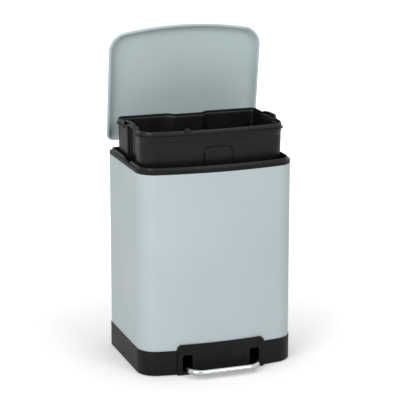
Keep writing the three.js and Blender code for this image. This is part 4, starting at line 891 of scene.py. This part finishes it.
def screw_tree():
    """A pan-head screw with a cross recess and a plain shank."""
    tree, size = rule_tree("cross_recess_screw", Shank=1.9, Head=4.0, Rise=2.4, Length=10.8)
    cuts = []
    for along, across in (("X", "Y"), ("Y", "X")):
        arm = add(tree, "ShaderNodeMath", {0: size["Head"], 1: 1.12}, operation="MULTIPLY").outputs[0]
        slit = add(tree, "ShaderNodeMath", {0: size["Head"], 1: 0.26}, operation="MULTIPLY").outputs[0]
        deep = add(tree, "ShaderNodeMath", {0: size["Rise"], 1: 1.3}, operation="MULTIPLY").outputs[0]
        block = add(tree, "ShaderNodeCombineXYZ", {along: arm, across: slit, "Z": deep}).outputs[0]
        block = add(tree, "GeometryNodeMeshCube", {"Size": block}).outputs[0]
        place = add(tree, "ShaderNodeCombineXYZ", {"Z": size["Rise"]}).outputs[0]
        block = {"Geometry": block, "Translation": place}
        cuts.append(add(tree, "GeometryNodeTransform", block).outputs[0])
    half = add(tree, "ShaderNodeMath", {0: size["Length"], 1: -0.5}, operation="MULTIPLY").outputs[0]
    parts = [domed_head(tree, size, *cuts), shank(tree, size["Shank"], size["Length"], half)]
    return close_tree(tree, size, add(tree, "GeometryNodeJoinGeometry", {0: parts}).outputs[0])


def rivet_tree():
    """A domed rivet with its pressed tail."""
    tree, size = rule_tree("domed_rivet", Shank=1.5, Head=2.85, Rise=1.35, Grip=11.7)
    half = add(tree, "ShaderNodeMath", {0: size["Grip"], 1: -0.5}, operation="MULTIPLY").outputs[0]
    wide = add(tree, "ShaderNodeMath", {0: size["Shank"], 1: 1.5}, operation="MULTIPLY").outputs[0]
    end = {0: size["Rise"], 1: 0.5, 2: size["Grip"]}
    end = add(tree, "ShaderNodeMath", end, operation="MULTIPLY_ADD").outputs[0]
    end = add(tree, "ShaderNodeMath", {0: end, 1: -1.0}, operation="MULTIPLY").outputs[0]
    parts = [
        domed_head(tree, size),
        shank(tree, size["Shank"], size["Grip"], half),
        shank(tree, wide, size["Rise"], end),
    ]
    return close_tree(tree, size, add(tree, "GeometryNodeJoinGeometry", {0: parts}).outputs[0])


def nut_tree():
    """A hexagon nut with chamfered top corners."""
    tree, size = rule_tree("hexagon_nut", Corner=4.04, Bore=2.3, Height=2.8)
    half = add(tree, "ShaderNodeMath", {0: size["Height"], 1: 0.5}, operation="MULTIPLY").outputs[0]
    place = add(tree, "ShaderNodeCombineXYZ", {"Z": half}).outputs[0]
    prism = {"Vertices": 6, "Radius": size["Corner"], "Depth": size["Height"]}
    prism = add(tree, "GeometryNodeMeshCylinder", prism).outputs[0]
    prism = add(tree, "GeometryNodeTransform", {"Geometry": prism, "Translation": place}).outputs[0]
    narrow = add(tree, "ShaderNodeMath", {0: size["Corner"], 1: 0.88}, operation="MULTIPLY").outputs[0]
    wide = add(tree, "ShaderNodeMath", {0: size["Corner"], 1: 1.5}, operation="MULTIPLY").outputs[0]
    cone = {"Vertices": 48, "Radius Top": wide, "Radius Bottom": narrow, "Depth": size["Height"]}
    cone = add(tree, "GeometryNodeMeshCone", cone).outputs[0]
    trim = {"Mesh 2": [prism, cone]}
    trim = add(tree, "GeometryNodeMeshBoolean", trim, operation="INTERSECT", solver="EXACT").outputs[0]
    deep = add(tree, "ShaderNodeMath", {0: size["Height"], 1: 3.0}, operation="MULTIPLY").outputs[0]
    bore = {"Vertices": 32, "Radius": size["Bore"], "Depth": deep}
    bore = add(tree, "GeometryNodeMeshCylinder", bore).outputs[0]
    nut = {"Mesh 1": trim, "Mesh 2": [bore]}
    nut = add(tree, "GeometryNodeMeshBoolean", nut, operation="DIFFERENCE", solver="EXACT").outputs[0]
    return close_tree(tree, size, nut)


def foot_tree():
    """A round foot that narrows a little towards the floor."""
    tree, size = rule_tree("round_foot", Radius=11, Height=3, Edge=0.75)
    upper = {0: size["Height"], 1: size["Edge"]}
    upper = add(tree, "ShaderNodeMath", upper, operation="SUBTRACT").outputs[0]
    middle = {0: upper, 1: 0.5, 2: size["Edge"]}
    middle = add(tree, "ShaderNodeMath", middle, operation="MULTIPLY_ADD").outputs[0]
    disc = shank(tree, size["Radius"], upper, middle)
    low = {0: size["Radius"], 1: size["Edge"]}
    low = add(tree, "ShaderNodeMath", low, operation="SUBTRACT").outputs[0]
    edge = {"Vertices": 24, "Radius Top": size["Radius"], "Radius Bottom": low, "Depth": size["Edge"]}
    edge = add(tree, "GeometryNodeMeshCone", edge).outputs[0]
    whole = {"Mesh 2": [disc, edge]}
    whole = add(tree, "GeometryNodeMeshBoolean", whole, operation="UNION", solver="EXACT").outputs[0]
    return close_tree(tree, size, whole)


def bar_tree():
    """A round bar bent along the host's line, with one bend radius."""
    tree, size = rule_tree("bent_round_bar", Radius=7, Bend=25)
    line = add(tree, "GeometryNodeMeshToCurve", {"Mesh": size["Geometry"]}).outputs[0]
    bend = {"Curve": line, "Radius": size["Bend"], "Limit Radius": True, "Count": 20}
    bend = add(tree, "GeometryNodeFilletCurve", bend, mode="POLY").outputs[0]
    section = {"Resolution": 40, "Radius": size["Radius"]}
    section = add(tree, "GeometryNodeCurvePrimitiveCircle", section, mode="RADIUS").outputs[0]
    swept = {"Curve": bend, "Profile Curve": section, "Fill Caps": True}
    return close_tree(tree, size, add(tree, "GeometryNodeCurveToMesh", swept).outputs[0], spread=False)


def by_rule(name, tree, spots, look, nodes, edges=(), **sizes):
    """Hosts a tree on spots of (place in mm, axis) and turns its result into a plain, dressed mesh."""
    body, slot = look
    data = bpy.data.meshes.new(name)
    data.from_pydata([Vector(place) * MM for place, axis in spots], edges, [])
    axes = data.attributes.new("axis", "FLOAT_VECTOR", "POINT")
    for i, (place, axis) in enumerate(spots):
        axes.data[i].vector = axis
    obj = bpy.data.objects.new(name, data)
    bpy.context.scene.collection.objects.link(obj)
    rule = obj.modifiers.new("rule", "NODES")
    rule.node_group = tree
    for item in tree.interface.items_tree:
        if item.in_out == "INPUT" and item.name in sizes:
            rule[item.identifier] = sizes[item.name] * MM
        if item.in_out == "INPUT" and item.name == "Material":
            rule[item.identifier] = SLOT_FINISH[slot]
    settle(obj)
    mesh = bmesh.new()
    mesh.from_mesh(obj.data)
    bmesh.ops.remove_doubles(mesh, verts=mesh.verts, dist=0.000001)
    bmesh.ops.recalc_face_normals(mesh, faces=mesh.faces)
    mesh.to_mesh(obj.data)
    mesh.free()
    smooth(obj, 30)
    return dress(obj, SLOT_FINISH[slot], body, slot, *nodes)


def numbered(stem, count):
    return [f"{stem}_{i + 1}" for i in range(count)]


PEDAL_TURN = Matrix.Rotation(PEDAL_TILT, 3, "X")
LID_TURN = Matrix.Rotation(-LID_OPEN, 3, "X")


def on_pedal(x, y, z):
    return AXLE + PEDAL_TURN @ Vector((x, y, z))


def on_lid(x, y, z):
    return HINGE + LID_TURN @ (Vector((x, y, z)) - HINGE)


def make_fasteners():
    screws, rivets = screw_tree(), rivet_tree()
    back, up = Vector((0, 1, 0)), Vector((0, 0, 1))
    zinc = "zinc_steel"
    spots = [((x, 128.1, z), back) for x in (-HOUSING_X, HOUSING_X) for z in (412, 428)]
    by_rule("housing_screws", screws, spots, ("bin", zinc), numbered("housing_screw", 4),
            Shank=1.9, Head=4, Rise=2.4, Length=10.8)
    seat = COVER_LEVEL + 2.8
    spots = [((x, y, seat), up) for x in (-140, 140) for y in (-57, 91)]
    by_rule("cover_screws", screws, spots, ("bin", zinc), numbered("cover_screw", 4),
            Shank=1.7, Head=3.55, Rise=2.2, Length=10)
    spots = [((x, 125.3, z), back) for x in (-2.5, 14.5) for z in (140, 340)]
    by_rule("guide_rivets", rivets, spots, ("bin", zinc), numbered("guide_rivet", 4),
            Shank=1.5, Head=2.85, Rise=1.35, Grip=11.7)
    spots = [(on_pedal(x, -40, 7.3), PEDAL_TURN @ up) for x in (-SLOT_X, SLOT_X)]
    by_rule("pedal_rivets", rivets, spots, ("pedal", zinc), numbered("pedal_rivet", 2),
            Shank=2.5, Head=4.75, Rise=2.25, Grip=17.9)
    spots = [(on_lid(x, y, 452.8), LID_TURN @ up) for x, y in STUDS]
    by_rule("lid_nuts", nut_tree(), spots, ("lid", zinc), numbered("lid_nut", 4),
            Corner=4.04, Bore=2.3, Height=2.8)
    by_rule("rubber_feet", foot_tree(), [((x, y, 0), up) for x, y in FEET], ("bin", "rubber"),
            numbered("rubber_foot", 4), Radius=FOOT_RADIUS, Height=FOOT_HEIGHT, Edge=0.75)


def make_bars():
    bars = bar_tree()
    up = Vector((0, 0, 1))
    chain = [(0, 1), (1, 2), (2, 3)]
    reach = PEDAL_REACH
    corners = [(-SLOT_X, -22), (-SLOT_X, -reach), (SLOT_X, -reach), (SLOT_X, -22)]
    spots = [(on_pedal(x, y, 0), up) for x, y in corners]
    by_rule("pedal_tube", bars, spots, ("pedal", "chrome"), ["pedal_bar"], chain,
            Radius=TUBE / 2 - 0.03, Bend=25)
    corners = [(ROD_X - 13.5, ROD_HIGH), (ROD_X, ROD_HIGH), (ROD_X, ROD_LOW), (ROD_X + 16, ROD_LOW)]
    spots = [((x, ROD_Y, z), up) for x, z in corners]
    by_rule("lift_rod_bar", bars, spots, ("rod", "zinc_steel"), ["lift_rod"], chain,
            Radius=2, Bend=5)


# ---------------------------------------------------------------- the whole bin

make_wrap()
make_base()
make_collar()
make_lid()
make_bucket()
make_bars()
make_fasteners()
soft_copy("hinge_housing", "housing_moulding", 0.6, "bin", "black_plastic")
soft_copy("bucket_divider", "divider_moulding", 0.7, "divider", "bucket_plastic")
soft_copy("lid_hinge_bracket", "strap_pressing", 0.3, "lid", "zinc_steel")
soft_copy("mechanism_cover", "cover_moulding", 0.5, "bin", "black_plastic")
soft_copy("pedal_lever", "lever_pressing", 0.3, "pedal", "zinc_steel")

# ---------------------------------------------------------------- floor and light

FLOOR_REACH = 14  # metres from the middle to each side


def make_floor():
    """A white floor that fades into the backdrop away from the bin and keeps its soft shadow."""
    data = bpy.data.meshes.new("floor")
    corners = [(x * FLOOR_REACH, y * FLOOR_REACH, 0) for x, y in ((-1, -1), (1, -1), (1, 1), (-1, 1))]
    data.from_pydata(corners, [], [(0, 1, 2, 3)])
    floor = bpy.data.objects.new("floor", data)
    bpy.context.scene.collection.objects.link(floor)
    material = bpy.data.materials.new("matt_white_backdrop")
    material.use_nodes = True
    tree = material.node_tree
    tree.nodes.clear()
    away = {0: add(tree, "ShaderNodeTexCoord").outputs["Object"], 1: (-0.05, 0, 0)}
    away = add(tree, "ShaderNodeVectorMath", away, operation="DISTANCE").outputs["Value"]
    glow = {"Value": away, "From Min": 0.20, "From Max": 1.1, "To Min": 0.23, "To Max": 0.80}
    glow = add(tree, "ShaderNodeMapRange", glow).outputs["Result"]
    path = add(tree, "ShaderNodeLightPath")
    seen = {0: path.outputs["Is Glossy Ray"], 1: 0.12, 2: path.outputs["Is Camera Ray"]}
    seen = add(tree, "ShaderNodeMath", seen, operation="MULTIPLY_ADD").outputs[0]
    glow = add(tree, "ShaderNodeMath", {0: glow, 1: seen}, operation="MULTIPLY").outputs[0]
    paint = add(tree, "ShaderNodeBsdfDiffuse", {"Color": colour("#f0f0f0")}).outputs[0]
    light = add(tree, "ShaderNodeEmission", {"Strength": glow}).outputs[0]
    both = add(tree, "ShaderNodeAddShader", {0: paint, 1: light}).outputs[0]
    add(tree, "ShaderNodeOutputMaterial", {"Surface": both})
    data.materials.append(material)


def make_world():
    world = bpy.data.worlds.new("studio")
    bpy.context.scene.world = world
    world.use_nodes = True
    tree = world.node_tree
    tree.nodes.clear()
    path = add(tree, "ShaderNodeLightPath").outputs
    seen = {0: path["Is Camera Ray"], 1: path["Is Glossy Ray"]}
    seen = add(tree, "ShaderNodeMath", seen, operation="MAXIMUM").outputs[0]
    seen = {0: seen, 1: path["Is Transmission Ray"]}
    seen = add(tree, "ShaderNodeMath", seen, operation="MAXIMUM").outputs[0]
    strength = add(tree, "ShaderNodeMapRange", {"Value": seen, "To Min": 0.39, "To Max": 1.0})
    light = {"Color": (1, 1, 1, 1), "Strength": strength.outputs["Result"]}
    background = add(tree, "ShaderNodeBackground", light).outputs[0]
    add(tree, "ShaderNodeOutputWorld", {"Surface": background})


def lamp(name, place, size, watts):
    """A white softbox of a size in metres, aimed at the bin's lower half."""
    data = bpy.data.lights.new(name, "AREA")
    data.shape = "RECTANGLE"
    data.size, data.size_y = size
    data.energy = watts
    obj = bpy.data.objects.new(name, data)
    obj.location = place
    obj.rotation_euler = (Vector((0, 0, 0.3)) - Vector(place)).to_track_quat("-Z", "Y").to_euler()
    bpy.context.scene.collection.objects.link(obj)


make_floor()
make_world()
lamp("left_softbox", (-2.4, -1.9, 1.9), (1.8, 1.8), 49)
lamp("front_softbox", (1.1, -2.6, 2.4), (1.6, 1.4), 28)
lamp("top_softbox", (0.1, 0.2, 2.8), (2.2, 2.2), 16)

# ---------------------------------------------------------------- camera

view = bpy.data.cameras.new("photo_view")
view.sensor_width = 36
view.lens = 152.0
view.clip_end = 100
camera = bpy.data.objects.new("photo_view", view)
camera.location = (-1.1596, -3.3026, 1.2326)
camera.rotation_euler = (math.radians(75.76), 0, math.radians(-19.29))
bpy.context.scene.collection.objects.link(camera)
bpy.context.scene.camera = camera

bpy.context.scene.view_settings.view_transform = "Standard"
